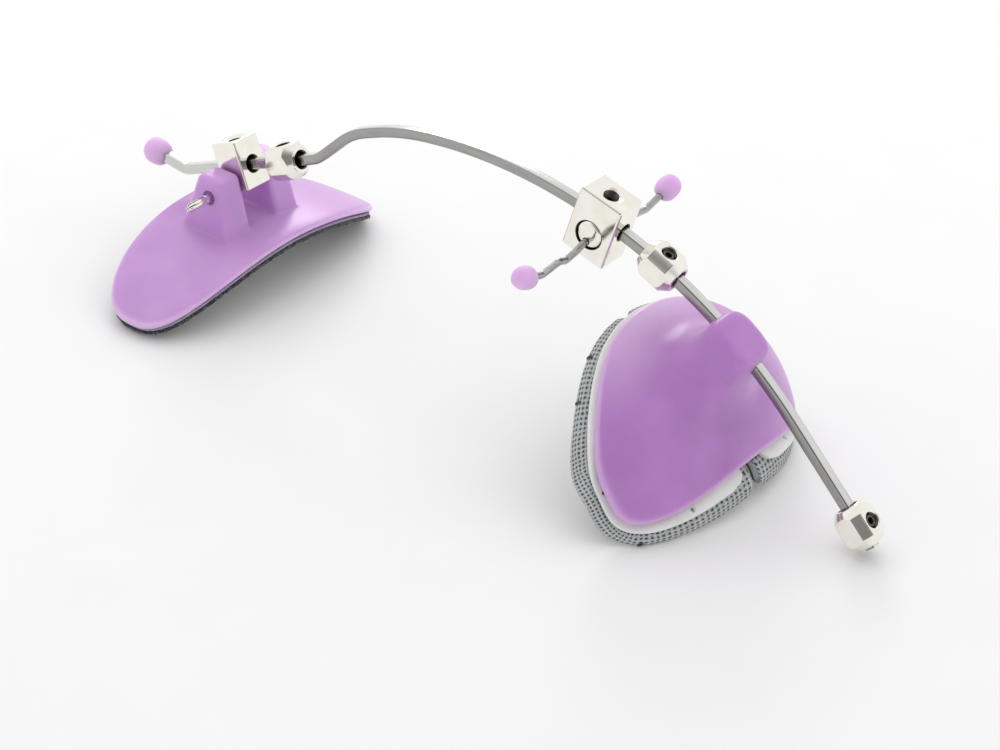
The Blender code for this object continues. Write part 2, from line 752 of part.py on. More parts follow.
def surface_below(frame, x, u, inset):
    """Height, in the bar's frame, at which the cup's face lies under (x, u)."""
    start = frame @ Vector((x, u, 0.0))
    aim = frame.to_3x3() @ Vector((0.0, 0.0, -1.0))
    across = math.asin(x / CUP_SIDE_BEND)
    radius = CUP_BEND - CUP_SIDE_BEND * (1 - math.cos(across)) - inset
    away = start - cup_centre()
    b = away.y * aim.y + away.z * aim.z
    c = away.y ** 2 + away.z ** 2 - radius ** 2
    return -(-b - math.sqrt(b * b - c))


def boss(frame):
    """The raised block that holds the bar, flared into the cup's face."""
    bm = bmesh.new()
    sides = 24
    rings = []
    inside = [(0.0, share * BOSS_RINGS[0][1], share * BOSS_RINGS[0][2]) for share in (0.35, 0.7)]
    for share, half_width, half_length in inside + list(BOSS_RINGS):
        ring = []
        for i in range(sides):
            c, s = squircle(2 * math.pi * (i + 0.5) / sides, BOSS_POWER)
            x, u = c * half_width, s * half_length
            floor = surface_below(frame, x, u, CUP_THICK / 2)
            ring.append(bm.verts.new((x, u, floor + (BOSS_TOP - floor) * share)))
        rings.append(ring)
    for low, high in zip(rings, rings[1:]):
        bridge(bm, low, high)
    bridge(bm, [bm.verts.new((0.0, 0.0, surface_below(frame, 0.0, 0.0, CUP_THICK / 2)))], rings[0])
    bridge(bm, rings[-1], [bm.verts.new((0.0, 0.0, BOSS_TOP + 0.15))])
    return bm


def make_chin_cup(parent):
    here = Matrix()
    frame = bar_frame(CHIN_BOSS_AT)
    cup = solid("chin_cup", patch(cup_point, cup_outline((0.0, 0.0, 0.0)), CUP_POWER, 0.0, CUP_THICK, 20, 14),
                here, parent, "lilac")
    boolean(cup, cutter("join_boss", boss(frame), metres(frame), parent), "UNION")
    reach = BOSS_RINGS[0][2] + 4.0
    passage = [bar_frame(CHIN_BOSS_AT + t * reach / 6) for t in range(-6, 7)]
    hole = sweep(chamfered_square(BAR_SIDE + 2 * GAP, BAR_EDGE), passage)
    boolean(cup, cutter("cut_boss_passage", hole, here, parent), "DIFFERENCE")
    inset = CUP_THICK + GAP
    flat = cup_outline((RIM_CLEAR,) * 3)
    liner = patch(curled_point, flat, CUP_POWER, inset, LINER_THICK, 16, 10, skirt(LINER_GROWTH, (0.5, 1.0)))
    solid("chin_liner", liner, here, parent, "white_liner")
    inset += LINER_THICK + GAP
    layer = patch(curled_point, flat, CUP_POWER, inset, CUP_PAD_THICK, 16, 10,
                  skirt(CUP_PAD_GROWTH, (0.35, 0.7, 1.0)))
    pad = solid("chin_pad", layer, here, parent, "grey_mesh")
    outline = cup_outline(CUP_PAD_GROWTH)
    for name, way in (("lip", -1), ("lower", 1)):
        reach = outline(0.0, way)[1]
        edge = cup_point(0.0, reach, inset)
        inner = cup_point(0.0, reach - way * SLIT_DEPTH, inset + CUP_PAD_THICK / 2)
        run = (edge - inner).normalized()
        slit = box(-SLIT_WIDTH / 2, SLIT_WIDTH / 2, 0.0, SLIT_DEPTH + 4.0, -6.0, 6.0)
        turn = Matrix.Translation(inner * MM) @ Matrix.Rotation(math.atan2(run.z, run.y), 4, "X")
        boolean(pad, cutter("cut_slit_" + name, slit, turn, parent), "DIFFERENCE")


# Standing the mask on the ground

def measure():
    """Lowest and highest corners of everything that shows, in metres."""
    bpy.context.view_layer.update()
    graph = bpy.context.evaluated_depsgraph_get()
    low, high = Vector((1e9,) * 3), Vector((-1e9,) * 3)
    for obj in bpy.context.scene.objects:
        if obj.type != "MESH" or obj.hide_render:
            continue
        evaluated = obj.evaluated_get(graph)
        for v in evaluated.data.vertices:
            place = evaluated.matrix_world @ v.co
            low = Vector(map(min, low, place))
            high = Vector(map(max, high, place))
    return low, high


def stand(root):
    """Sets the whole mask down so that the middle of its footprint is the origin."""
    root.rotation_euler.x = math.radians(REST_TILT)
    low, high = measure()
    root.location = (-(low.x + high.x) / 2, -(low.y + high.y) / 2, -low.z)
    bpy.context.view_layer.update()


def joint(name, place, parent):
    """An empty on a joint's axis, at a place in millimetres."""
    return empty(name, Matrix.Translation(Vector(place) * MM), parent)


def build():
    clear_scene()
    root = empty("mask", Matrix())
    make_bar(root)
    make_ball(root)

    head = joint("forehead_slide", bar_frame(FOREHEAD_BLOCK_AT).translation, root)
    make_forehead_block(head)
    make_forehead_rest(joint("forehead_tilt", pin_frame().translation, head))
    upper = joint("upper_collar_slide", bar_frame(UPPER_COLLAR_AT).translation, root)
    collar("upper_collar", UPPER_COLLAR_AT, upper)

    cross = joint("crossbar_slide", arc_centre(), root)
    make_crossbar_block(cross)
    barrel_at = bar_frame(0.0) @ Matrix.Translation((0.0, 0.0, -BARREL_DROP))
    make_crossbar(joint("crossbar_tilt", barrel_at.translation, cross), barrel_at)
    collar("middle_collar", MIDDLE_COLLAR_AT, joint("middle_collar_slide", arc_centre(), root))

    make_chin_cup(joint("chin_cup_slide", arc_centre(), root))
    lower_at = bar_length(True) - LOWER_COLLAR_STUB - COLLAR_LENGTH / 2
    collar("lower_collar", lower_at, joint("lower_collar_slide", bar_frame(lower_at).translation, root))
    stand(root)


build()
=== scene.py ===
"""The looks of the reverse-pull face mask: fine meshes, procedural materials, studio and camera.

Shapes are built in millimetres in the mask's own level frame (X across, Y along, Z up) and are
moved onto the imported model, whose long slide's centre and resting tilt give the place.
"""

import json
import math
import random

import bmesh
import bpy
import numpy as np
from mathutils import Matrix, Vector, noise


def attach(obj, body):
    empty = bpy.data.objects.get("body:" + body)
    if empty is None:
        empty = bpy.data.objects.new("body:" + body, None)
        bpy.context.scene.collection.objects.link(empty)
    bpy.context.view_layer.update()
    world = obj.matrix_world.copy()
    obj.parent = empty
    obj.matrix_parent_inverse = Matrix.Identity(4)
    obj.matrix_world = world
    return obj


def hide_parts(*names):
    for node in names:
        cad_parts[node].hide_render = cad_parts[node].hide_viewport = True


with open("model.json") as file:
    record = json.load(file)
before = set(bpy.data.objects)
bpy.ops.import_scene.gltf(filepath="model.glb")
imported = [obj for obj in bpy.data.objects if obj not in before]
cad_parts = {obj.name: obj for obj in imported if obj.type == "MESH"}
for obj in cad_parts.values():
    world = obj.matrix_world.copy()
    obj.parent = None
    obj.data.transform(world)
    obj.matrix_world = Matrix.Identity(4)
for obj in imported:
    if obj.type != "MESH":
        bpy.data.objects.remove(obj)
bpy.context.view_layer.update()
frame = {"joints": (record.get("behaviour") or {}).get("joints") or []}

MM = 0.001
GAP = 0.3

# The bar
BAR_SIDE = 2.5
BAR_START = (0.07, 0.41)
BAR_HEADING = -14.9
ARC_RADIUS = 122.0
TO_CHIN = ((62.5, -1 / 122.0), (31.6, 0.0))
TO_FOREHEAD = ((50.0, 1 / 122.0), (65.0 * math.radians(14.0), 1 / 65.0), (2.7, 0.0),
               (21.0 * math.radians(22.5), 1 / 21.0), (8.8, 0.0),
               (9.0 * math.radians(21.7), -1 / 9.0), (43.5, 0.0),
               (4.0 * math.radians(30.8), -1 / 4.0), (8.2, 0.0))
FOREHEAD_BLOCK_AT = -114.15
UPPER_COLLAR_AT = -98.15
MIDDLE_COLLAR_AT = 17.3
CHIN_BOSS_AT = 40.9
LOWER_COLLAR_AT = 62.5 + 31.6 - 0.7 - 4.8

# Blocks and collars; a block is its width, its length, its top and its bottom
BORE_RADIUS = 2.1
SCREW_HOLE = 1.8
THREAD_PITCH = 0.2
THREAD_DEPTH = 0.16
CROSS_BLOCK = (8.5, 11.5, 7.2, -9.0)
HEAD_BLOCK = (8.3, 8.0, 6.8, -5.75)
DISH_RADIUS = 3.2
DISH_DEPTH = 0.6
COLLAR_LENGTH = 9.6
COLLAR_SIDE = 8.5
COLLAR_PROFILE = ((3.2, -4.8), (4.8, -2.7), (4.8, 2.7), (3.2, 4.8))

# Crossbar
BARREL_DROP = 2.8
BARREL_RADIUS = 3.2
WIRE_RADIUS = 0.82
WIRE_DROP = 1.8
ARM_START = 2.05
ARM_BENDS = ((5.0, -4.6), (7.6, -6.1), (11.0, -7.0), (13.8, -5.8), (19.8, -6.8), (24.2, -5.1))
CAP_CENTRE = (27.2, -3.8)

# Forehead rest
SHELL_FROM_PIN = (0.0, -8.7)
SHELL_BEND = 80.0
SHELL_HALF_WIDTH = 44.4
SHELL_HALF_HEIGHT = 16.6
SHELL_SWEEP = 1.56
SHELL_POWER = 2.5
SHELL_THICK = 2.0
FOAM_THICK = 0.7
FLEECE_THICK = 0.6
PIN_AT = (-1.6, -4.1)
PIN_NEAR = 19.5
PIN_FAR = 13.4

# Chin cup; growths are past the cup's side, its lip and its chin edge, and a slit is its depth, the
# radius of its corners and half its width
CUP_FROM_BAR = (-0.95, -51.1)
CUP_BEND = 40.8
CUP_SIDE_BEND = 52.5
CUP_HALF_WIDTH = 38.0
CUP_TO_LIP = 19.7
CUP_TO_CHIN = 23.2
CUP_SWEEP = 14.3
CUP_POWER = 2.8
CUP_THICK = 1.9
LINER_TOP = 2.02
LINER_THICK = 1.5
PAD_TOP = 3.66
PAD_THICK = 2.6
LINER_GROWTH = (1.5, 1.7, 3.6)
PAD_GROWTH = (4.55, 4.5, 8.7)
LIP_SLIT = (8.0, 2.4, 0.95)
CHIN_SLIT = (11.0, 3.6, 1.1)
LINER_NOTCH = (6.5, 3.8, 4.2)
LINER_VENTS = ((38.5, 13.0), (-38.5, 13.0), (20.5, 28.0), (-17.0, 27.0))
PAD_TACKS = (293, 308, 44, 247, 232, 136)
RIM_CLEAR = 0.9
CURL_HEIGHT = 3.1
CURL_REACH = 3.0
BOSS_TOP = 2.9
SADDLE_FROM = 8.2
SADDLE_TO = 21.0
BOSS_RINGS = ((0.0, 16.8, 13.8), (0.035, 14.6, 12.2), (0.09, 12.4, 10.7), (0.19, 10.3, 9.2),
              (0.37, 8.5, 7.9), (0.6, 7.2, 7.1), (0.84, 6.5, 6.8), (0.96, 5.7, 6.1), (1.0, 4.5, 5.0))

# Camera, in the level frame
CAMERA_AT = (447.9, 294.4, 298.2)
CAMERA_RIGHT = (-0.6057, 0.7941, 0.0500)
CAMERA_DOWN = (0.4012, 0.3591, -0.8427)
CAMERA_LOOK = (-0.6871, -0.4904, -0.5361)
CAMERA_LENS = 100.13

# Studio: the direction of the tent's darker opening, its levels by how far off a reflection looks,
# and the lamps' places, sizes, powers and whether they show in reflections
OPENING = (0.687, 0.490, 0.536)
TENT_LEVELS = ((0.0, 1.0), (0.5, 0.96), (0.75, 0.5), (0.92, 0.24))
LAMPS = (("key", (-0.3, -0.5, 0.95), 1.4, 3.0, False), ("side", (-0.5, 0.6, 0.8), 1.4, 0.8, False),
         ("back", (-0.83, -0.68, 0.50), 0.4, 2.2, True))


def clamp(value):
    return max(0.0, min(1.0, value))


# Path of the bar

def bar_point(s):
    y, z, heading = *BAR_START, math.radians(BAR_HEADING)
    way = 1.0 if s >= 0 else -1.0
    left = abs(s)
    for length, curve in (TO_CHIN if s >= 0 else TO_FOREHEAD):
        run = min(left, length)
        turn = curve * run
        if curve:
            y += way * (math.sin(heading + turn) - math.sin(heading)) / curve
            z += way * (math.cos(heading) - math.cos(heading + turn)) / curve
        else:
            y += way * run * math.cos(heading)
            z += way * run * math.sin(heading)
        heading += turn
        left -= run
        if left <= 1e-9:
            break
    return y, z, heading


def bar_frame(s):
    y, z, heading = bar_point(s)
    return Matrix.Translation((0.0, y, z)) @ Matrix.Rotation(heading, 4, "X")


def slide_centre():
    y, z, heading = bar_point(0.0)
    return Vector((0.0, y + ARC_RADIUS * math.sin(heading), z - ARC_RADIUS * math.cos(heading)))


JOINTS = {joint["name"]: joint for joint in frame["joints"]}
REST_TILT = math.radians(0.3)
TO_FRAME = (Matrix.Translation(Vector(JOINTS["crossbar_slide"]["pos_m"]) / MM)
            @ Matrix.Rotation(REST_TILT, 4, "X") @ Matrix.Translation(-slide_centre()))
PIN_PLACE = bar_frame(FOREHEAD_BLOCK_AT) @ Vector((0.0, *PIN_AT))
SHELL_CREST = PIN_PLACE + Vector((0.0, *SHELL_FROM_PIN))
CUP_CENTRE = bar_frame(CHIN_BOSS_AT) @ Vector((0.0, *CUP_FROM_BAR))
CUP_TILT = -bar_point(CHIN_BOSS_AT)[2]


# Objects

def raw(bm, mat=None):
    bmesh.ops.recalc_face_normals(bm, faces=bm.faces)
    mesh = bpy.data.meshes.new("work")
    bm.to_mesh(mesh)
    bm.free()
    if mat:
        mesh.materials.append(mat)
    obj = bpy.data.objects.new("work", mesh)
    bpy.context.scene.collection.objects.link(obj)
    return obj


def modify(obj, kind, **values):
    """Gives an object a modifier and applies it."""
    mod = obj.modifiers.new("work", kind)
    for key, value in values.items():
        setattr(mod, key, value)
    graph = bpy.context.evaluated_depsgraph_get()
    live = obj.evaluated_get(graph)
    mesh = bpy.data.meshes.new_from_object(live, preserve_all_data_layers=True, depsgraph=graph)
    obj.modifiers.clear()
    obj.data = mesh
    return obj


def join(obj, tool_mesh, operation="DIFFERENCE", mat=None):
    """A boolean with a throwaway tool; a tool with a material of its own leaves it on the new faces."""
    tool = raw(tool_mesh, mat)
    modify(obj, "BOOLEAN", object=tool, operation=operation, solver="EXACT",
           material_mode="TRANSFER" if mat else "INDEX")
    bpy.data.objects.remove(tool, do_unlink=True)


def round_edges(obj, width, segments, angle=30):
    modify(obj, "BEVEL", width=width, segments=segments, limit_method="ANGLE",
           angle_limit=math.radians(angle))


def crisp(obj, angle):
    """Flat faces stay flat in shading and only the rounded edges turn."""
    obj.data.shade_smooth()
    obj.data.set_sharp_from_angle(angle=math.radians(angle))
    modify(obj, "WEIGHTED_NORMAL", keep_sharp=True)


def remesh(obj, voxel, rounds):
    modify(obj, "REMESH", mode="VOXEL", voxel_size=voxel, use_smooth_shade=True)
    soften(obj, rounds)


def soften(obj, rounds, weight=None):
    """Smooths a mesh, where weight(point) says how much."""
    if weight:
        group = obj.vertex_groups.new(name="soft")
        for v in obj.data.vertices:
            amount = weight(v.co)
            if amount > 0.0:
                group.add([v.index], amount, "REPLACE")
    modify(obj, "SMOOTH", factor=0.5, iterations=rounds, vertex_group="soft" if weight else "")
    obj.vertex_groups.clear()


def place(obj, name, body, mat, node=None, local=None, sharp=0):
    """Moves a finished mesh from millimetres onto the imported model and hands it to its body; no
    fibre hangs below the table.  Edges past the sharp angle stay hard; None keeps the shading."""
    if local is not None:
        obj.data.transform(local)
    obj.data.transform(Matrix.Scale(MM, 4) @ TO_FRAME)
    for v in obj.data.vertices:
        v.co.z = max(v.co.z, 0.0)
    obj.name = name
    obj.data.name = name
    if obj.data.materials:
        obj.data.materials[0] = mat
    else:
        obj.data.materials.append(mat)
    if sharp is not None:
        obj.data.shade_smooth()
    if sharp:
        obj.data.set_sharp_from_angle(angle=math.radians(sharp))
    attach(obj, body)
    if node:
        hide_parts(node)


# Mesh building blocks

def bridge(bm, low, high):
    count = max(len(low), len(high))
    for i in range(count):
        j = (i + 1) % count
        if len(low) == 1:
            bm.faces.new((low[0], high[j], high[i]))
        elif len(high) == 1:
            bm.faces.new((low[i], low[j], high[0]))
        else:
            bm.faces.new((low[i], low[j], high[j], high[i]))


def skin(bm, rings, ends=True):
    """Bridges each ring to the next and closes both ends."""
    for low, high in zip(rings, rings[1:]):
        bridge(bm, low, high)
    for end in (rings[0], rings[-1]):
        if ends and len(end) > 1:
            bm.faces.new(end)
    return bm


def box(x0, x1, y0, y1, z0, z1):
    bm = bmesh.new()
    bmesh.ops.create_cube(bm, size=1.0)
    for v in bm.verts:
        v.co = Vector((x0 if v.co.x < 0 else x1, y0 if v.co.y < 0 else y1, z0 if v.co.z < 0 else z1))
    return bm


def lathe(profile, axis="Z", sides=48, centre=(0.0, 0.0, 0.0)):
    bm = bmesh.new()
    rings = []
    for radius, spot in profile:
        count = sides if radius else 1
        ring = []
        for i in range(count):
            turn = 2 * math.pi * (i + 0.5) / sides
            a, b = radius * math.cos(turn), radius * math.sin(turn)
            point = {"X": (spot, a, b), "Y": (b, spot, a), "Z": (a, b, spot)}[axis]
            ring.append(bm.verts.new(Vector(point) + Vector(centre)))
        rings.append(ring)
    return skin(bm, rings)


def cylinder(radius, start, end, axis="Z", sides=48, centre=(0.0, 0.0, 0.0)):
    return lathe(((radius, start), (radius, end)), axis, sides, centre)


def bore(radius, half, flare, deep, axis="Y", sides=48, centre=(0.0, 0.0, 0.0)):
    """Cutter for a bore with a broken edge at both mouths."""
    return lathe(((radius + flare, -half - 0.01), (radius, -half + deep), (radius, half - deep),
                  (radius + flare, half + 0.01)), axis, sides, centre)


def moved(bm, matrix):
    bmesh.ops.transform(bm, matrix=matrix, verts=bm.verts)
    return bm


def facing(spot, away):
    """A frame at a spot whose Z points away."""
    return Matrix.Translation(spot) @ Vector((0, 0, 1)).rotation_difference(away).to_matrix().to_4x4()


def sweep(section, frames, lengths=None):
    """Skins a closed (x, h) section through frames; lengths give a UV that runs along the piece."""
    bm = bmesh.new()
    rings = [[bm.verts.new(f @ Vector((x, 0.0, h))) for x, h in section] for f in frames]
    skin(bm, rings)
    if not lengths:
        return bm
    layer = bm.loops.layers.uv.new("along")
    around = []
    walk = 0.0
    for i, (x, h) in enumerate(section):
        around.append(walk)
        nx, nh = section[(i + 1) % len(section)]
        walk += math.hypot(nx - x, nh - h)
    spots = {v: (around[i], lengths[r]) for r, ring in enumerate(rings) for i, v in enumerate(ring)}
    for face in bm.faces:
        uvs = [spots[loop.vert] for loop in face.loops]
        wraps = max(p[0] for p in uvs) - min(p[0] for p in uvs) > walk / 2
        for loop, (u, v) in zip(face.loops, uvs):
            loop[layer].uv = (u + (walk if wraps and u < walk / 2 else 0.0), v)
    return bm


def rounded_square(side, radius, steps=4):
    half = side / 2 - radius
    out = []
    for k, (cx, ch) in enumerate(((half, half), (-half, half), (-half, -half), (half, -half))):
        for i in range(steps + 1):
            turn = math.pi / 2 * (k + i / steps)
            out.append((cx + radius * math.cos(turn), ch + radius * math.sin(turn)))
    return out


def to_squircle(x, y, power):
    u = x * math.sqrt(1 - y * y / 2)
    v = y * math.sqrt(1 - x * x / 2)
    reach = math.hypot(u, v)
    if reach < 1e-9:
        return 0.0, 0.0
    c, s = u / reach, v / reach
    scale = (abs(c) ** power + abs(s) ** power) ** (-1.0 / power)
    grow = 1 + (scale - 1) * reach ** 2
    return u * grow, v * grow


def on_squircle(turn, power):
    c, s = math.cos(turn), math.sin(turn)
    reach = (abs(c) ** power + abs(s) ** power) ** (-1 / power)
    return c * reach, s * reach


def patch(point, outline, power, top, thick, columns, rows, rim=6, crown=None):
    """A plate between two insets of a bent surface, with a round rim.  crown(e) sinks both faces
    near the rim, where e runs from nought at the rim to one in the middle."""
    bm = bmesh.new()
    square = [[(2 * i / columns - 1, 2 * j / rows - 1) for i in range(columns + 1)]
              for j in range(rows + 1)]
    params = [[to_squircle(x, y, power) for x, y in row] for row in square]
    sink = [[crown(1 - max(abs(x), abs(y))) if crown else 0.0 for x, y in row] for row in square]
    layers = []
    for inset, way in ((top, 1), (top + thick, -1)):
        layers.append([[bm.verts.new(point(*outline(*params[j][i], 0.0), inset + way * sink[j][i]))
                        for i in range(columns + 1)] for j in range(rows + 1)])
    for grid in layers:
        for j in range(rows):
            for i in range(columns):
                bm.faces.new((grid[j][i], grid[j][i + 1], grid[j + 1][i + 1], grid[j + 1][i]))
    edge = [(0, i) for i in range(columns)] + [(j, columns) for j in range(rows)]
    edge += [(rows, i) for i in range(columns, 0, -1)] + [(j, 0) for j in range(rows, 0, -1)]
    lip = sink[0][0]
    rings = [[layers[0][j][i] for j, i in edge]]
    for k in range(1, rim):
        turn = math.pi * k / rim
        inset = top + lip + (thick - 2 * lip) * (1 - math.cos(turn)) / 2
        bulge = (thick / 2 - lip) * math.sin(turn)
        rings.append([bm.verts.new(point(*outline(*params[j][i], bulge), inset)) for j, i in edge])
    rings.append([layers[1][j][i] for j, i in edge])
    return skin(bm, rings, False)


def spline(points, steps):
    """A smooth line through points."""
    out = []
    count = len(points)
    for i in range(count - 1):
        p0, p1, p2, p3 = points[max(i - 1, 0)], points[i], points[i + 1], points[min(i + 2, count - 1)]
        for k in range(steps):
            t = k / steps
            out.append(0.5 * ((2 * p1) + (p2 - p0) * t + (2 * p0 - 5 * p1 + 4 * p2 - p3) * t * t
                              + (3 * p1 - p0 - 3 * p2 + p3) * t ** 3))
    out.append(points[-1])
    return out


def kinked(points, reach, steps=6):
    """Replaces each corner of a line by a short bend."""
    out = [points[0]]
    for before, corner, after in zip(points, points[1:], points[2:]):
        start = corner + (before - corner).normalized() * reach
        end = corner + (after - corner).normalized() * reach
        for i in range(steps + 1):
            t = i / steps
            out.append(start.lerp(corner, t).lerp(corner.lerp(end, t), t))
    out.append(points[-1])
    return out


# Materials

class Nodes:
    """Short calls for building a node tree: a new material's, or the tree given."""

    def __init__(self, name, tree=None):
        if not tree:
            self.mat = bpy.data.materials.new(name)
            self.mat.use_nodes = True
        self.tree = tree or self.mat.node_tree
        self.shader = self.tree.nodes.get("Principled BSDF")

    def node(self, kind, output, inputs=(), **values):
        """Makes a node, sets its values, feeds its inputs and gives one of its outputs."""
        made = self.tree.nodes.new(kind)
        for key, value in values.items():
            setattr(made, key, value)
        for key, value in dict(inputs).items():
            self.feed(made.inputs[key], value)
        return made.outputs[output]

    def feed(self, socket, value):
        if hasattr(value, "is_output"):
            self.tree.links.new(value, socket)
        else:
            socket.default_value = value

    def set(self, **values):
        for key, value in values.items():
            self.shader.inputs[key.replace("_", " ")].default_value = value

    def coords(self):
        return self.node("ShaderNodeTexCoord", "Object")

    def uv(self, name):
        return self.node("ShaderNodeUVMap", "UV", uv_map=name)

    def split(self, vector):
        return [self.node("ShaderNodeSeparateXYZ", k, {0: vector}) for k in (0, 1)]

    def stretched(self, vector, scale):
        return self.node("ShaderNodeMapping", "Vector", {"Vector": vector, "Scale": scale})

    def noise(self, vector, scale, detail=4.0, rough=0.55):
        return self.node("ShaderNodeTexNoise", "Fac", {"Vector": vector, "Scale": scale,
                                                       "Detail": detail, "Roughness": rough})

    def voronoi(self, vector, scale):
        return self.node("ShaderNodeTexVoronoi", "Distance", {"Vector": vector, "Scale": scale})

    def math(self, kind, a, b=0.0):
        return self.node("ShaderNodeMath", 0, {0: a, 1: b}, operation=kind)

    def remap(self, value, low, high, to_low, to_high):
        return self.node("ShaderNodeMapRange", "Result", {"Value": value, "From Min": low, "From Max": high,
                                                          "To Min": to_low, "To Max": to_high})

    def ramp(self, value, stops):
        made = self.tree.nodes.new("ShaderNodeValToRGB")
        self.feed(made.inputs["Fac"], value)
        ramp = made.color_ramp
        while len(ramp.elements) < len(stops):
            ramp.elements.new(0.5)
        for element, (spot, colour) in zip(ramp.elements, stops):
            element.position = spot
            element.color = (*colour, 1.0)
        return made.outputs["Color"]

    def mix(self, factor, a, b, blend="MIX"):
        a, b = [value if hasattr(value, "is_output") else (*value, 1.0) for value in (a, b)]
        return self.node("ShaderNodeMix", 2, {0: factor, 6: a, 7: b}, data_type="RGBA", blend_type=blend)

    def bump(self, height, distance, strength=1.0):
        return self.node("ShaderNodeBump", "Normal", {"Height": height, "Distance": distance,
                                                      "Strength": strength})

    def paint(self, colour=None, rough=None, normal=None):
        for key, value in (("Base Color", colour), ("Roughness", rough), ("Normal", normal)):
            if value is not None:
                self.feed(self.shader.inputs[key], value)
        return self.mat


def nickel():
    """Polished plating over machined steel: nearly a mirror, faintly warm, with soft wipe marks."""
    n = Nodes("nickel")
    n.set(Metallic=1.0)
    where = n.coords()
    cloud = n.noise(where, 260.0, 3.0)
    wipe = n.noise(n.stretched(where, (60.0, 900.0, 300.0)), 4.0, 5.0)
    colour = n.ramp(cloud, ((0.3, (0.86, 0.835, 0.755)), (0.7, (0.925, 0.905, 0.83))))
    rough = n.remap(wipe, 0.3, 0.7, 0.06, 0.12)
    return n.paint(colour, rough, n.bump(n.noise(where, 700.0, 2.0), 0.00001, 0.25))


def dark_steel(name, scale, low, high, rough, relief):
    """Unpolished, oily and dark: the screws, and the painted shade lining whatever is drilled, tapped or
    sawn.
    """
    n = Nodes(name)
    n.set(Metallic=1.0)
    grain = n.noise(n.coords(), scale, 4.0)
    colour = n.ramp(grain, ((0.3, low), (0.7, high)))
    return n.paint(colour, n.remap(grain, 0.3, 0.7, *rough), n.bump(grain, 0.00002, relief))


def bar_steel():
    """Drawn steel.  The bar's own coordinate runs round its section and along it: the outer face
    is painted bright as a painted reflection, the other three keep the drawn grey with lines along
    them, and all four carry a painted reflection that brightens them towards the forehead end."""
    n = Nodes("bar_steel")
    n.set(Metallic=1.0)
    where = n.uv("along")
    around, along = n.split(where)
    lines = n.noise(n.stretched(where, (7.0, 0.10, 1.0)), 1.0, 6.0, 0.6)
    cloud = n.noise(n.stretched(where, (0.6, 0.08, 1.0)), 1.0, 3.0)
    drawn_grey_and_reflection = n.ramp(cloud, ((0.25, (0.38, 0.375, 0.36)), (0.75, (0.47, 0.465, 0.45))))
    painted_reflection = n.ramp(cloud, ((0.25, (0.74, 0.735, 0.725)), (0.75, (0.84, 0.835, 0.82))))
    # Painted reflection: the outer face is painted bright.
    outer = n.math("MULTIPLY", n.remap(around, 0.30, 0.60, 0.0, 1.0),
                   n.remap(around, 2.3, 2.6, 1.0, 0.0))
    # Painted reflection: every face is painted brighter towards the forehead end.
    drawn_grey_and_reflection = n.mix(n.remap(along, -125.0, -85.0, 0.85, 0.0), drawn_grey_and_reflection, painted_reflection)
    colour = n.mix(outer, drawn_grey_and_reflection, painted_reflection)
    scored = n.remap(lines, 0.3, 0.75, 0.72, 1.0)
    scored_tone = n.ramp(scored, ((0.0, (0.0, 0.0, 0.0)), (1.0, (1.0, 1.0, 1.0))))
    colour = n.mix(1.0, colour, scored_tone, "MULTIPLY")
    return n.paint(colour, n.remap(lines, 0.25, 0.75, 0.14, 0.26), n.bump(lines, 0.00001, 0.35))


def wire_steel():
    n = Nodes("wire_steel")
    n.set(Metallic=1.0)
    where = n.coords()
    lines = n.noise(n.stretched(where, (200.0, 2400.0, 2400.0)), 1.0, 4.0)
    colour = n.ramp(n.noise(where, 500.0, 3.0), ((0.3, (0.36, 0.355, 0.34)), (0.7, (0.50, 0.495, 0.48))))
    return n.paint(colour, n.remap(lines, 0.3, 0.7, 0.16, 0.30), n.bump(lines, 0.00001, 0.3))


def plastic(name, low, high, rough, depth, gloss, flow=90.0, painted_glow_colour=None):
    """Moulded translucent plastic: slow clouding, a fine skin and light under the surface, and a
    painted glow, paler where its vertices are marked for it."""
    n = Nodes(name)
    n.set(Subsurface_Weight=depth, Subsurface_Radius=(1.0, 0.5, 1.0), Subsurface_Scale=0.005,
          Specular_IOR_Level=gloss, IOR=1.46, Sheen_Weight=0.2, Sheen_Roughness=0.35,
          Sheen_Tint=(1.0, 0.82, 1.0, 1.0))
    where = n.coords()
    cloud = n.noise(where, flow, 3.0)
    skin = n.noise(where, 1500.0, 3.0)
    colour = n.ramp(cloud, ((0.3, low), (0.7, high)))
    # Painted glow: mixed towards the glow colour where the vertices are marked.
    if painted_glow_colour:
        painted_glow = n.node("ShaderNodeAttribute", "Fac", attribute_name="painted_glow")
        colour = n.mix(n.math("MULTIPLY", painted_glow, 0.7), colour, painted_glow_colour)
    skin_rough = n.remap(skin, 0.3, 0.7, rough - 0.02, rough + 0.03)
    return n.paint(colour, skin_rough, n.bump(skin, 0.000002, 0.3))


def mark_painted_glow(obj, amount):
    """Writes how strong the painted glow is at each vertex, for its material."""
    values = [amount(v.co) for v in obj.data.vertices]
    obj.data.attributes.new("painted_glow", "FLOAT", "POINT").data.foreach_set("value", values)


def foam_material():
    n = Nodes("foam")
    n.set(Subsurface_Weight=0.15, Subsurface_Scale=0.001, Roughness=0.92)
    where = n.coords()
    cells = n.voronoi(where, 3200.0)
    grain = n.noise(where, 1200.0, 4.0)
    blend = n.math("ADD", n.math("MULTIPLY", cells, 0.5), n.math("MULTIPLY", grain, 0.5))
    colour = n.ramp(blend, ((0.2, (0.20, 0.175, 0.25)), (0.7, (0.48, 0.42, 0.56))))
    return n.paint(colour, None, n.bump(cells, 0.0001, 0.7))


def fleece(name, low, high):
    """Looped dark fabric: clumped loops with a lighter nap."""
    n = Nodes(name)
    n.set(Roughness=0.95, Sheen_Weight=0.3, Sheen_Roughness=0.5, Specular_IOR_Level=0.2)
    where = n.coords()
    loops = n.voronoi(where, 1700.0)
    nap = n.noise(where, 2600.0, 5.0, 0.7)
    height = n.math("ADD", n.math("MULTIPLY", loops, 0.8), n.math("MULTIPLY", nap, 0.6))
    colour = n.ramp(height, ((0.25, high), (0.8, low)))
    return n.paint(colour, None, n.bump(n.math("SUBTRACT", 1.0, height), 0.0003, 0.9))


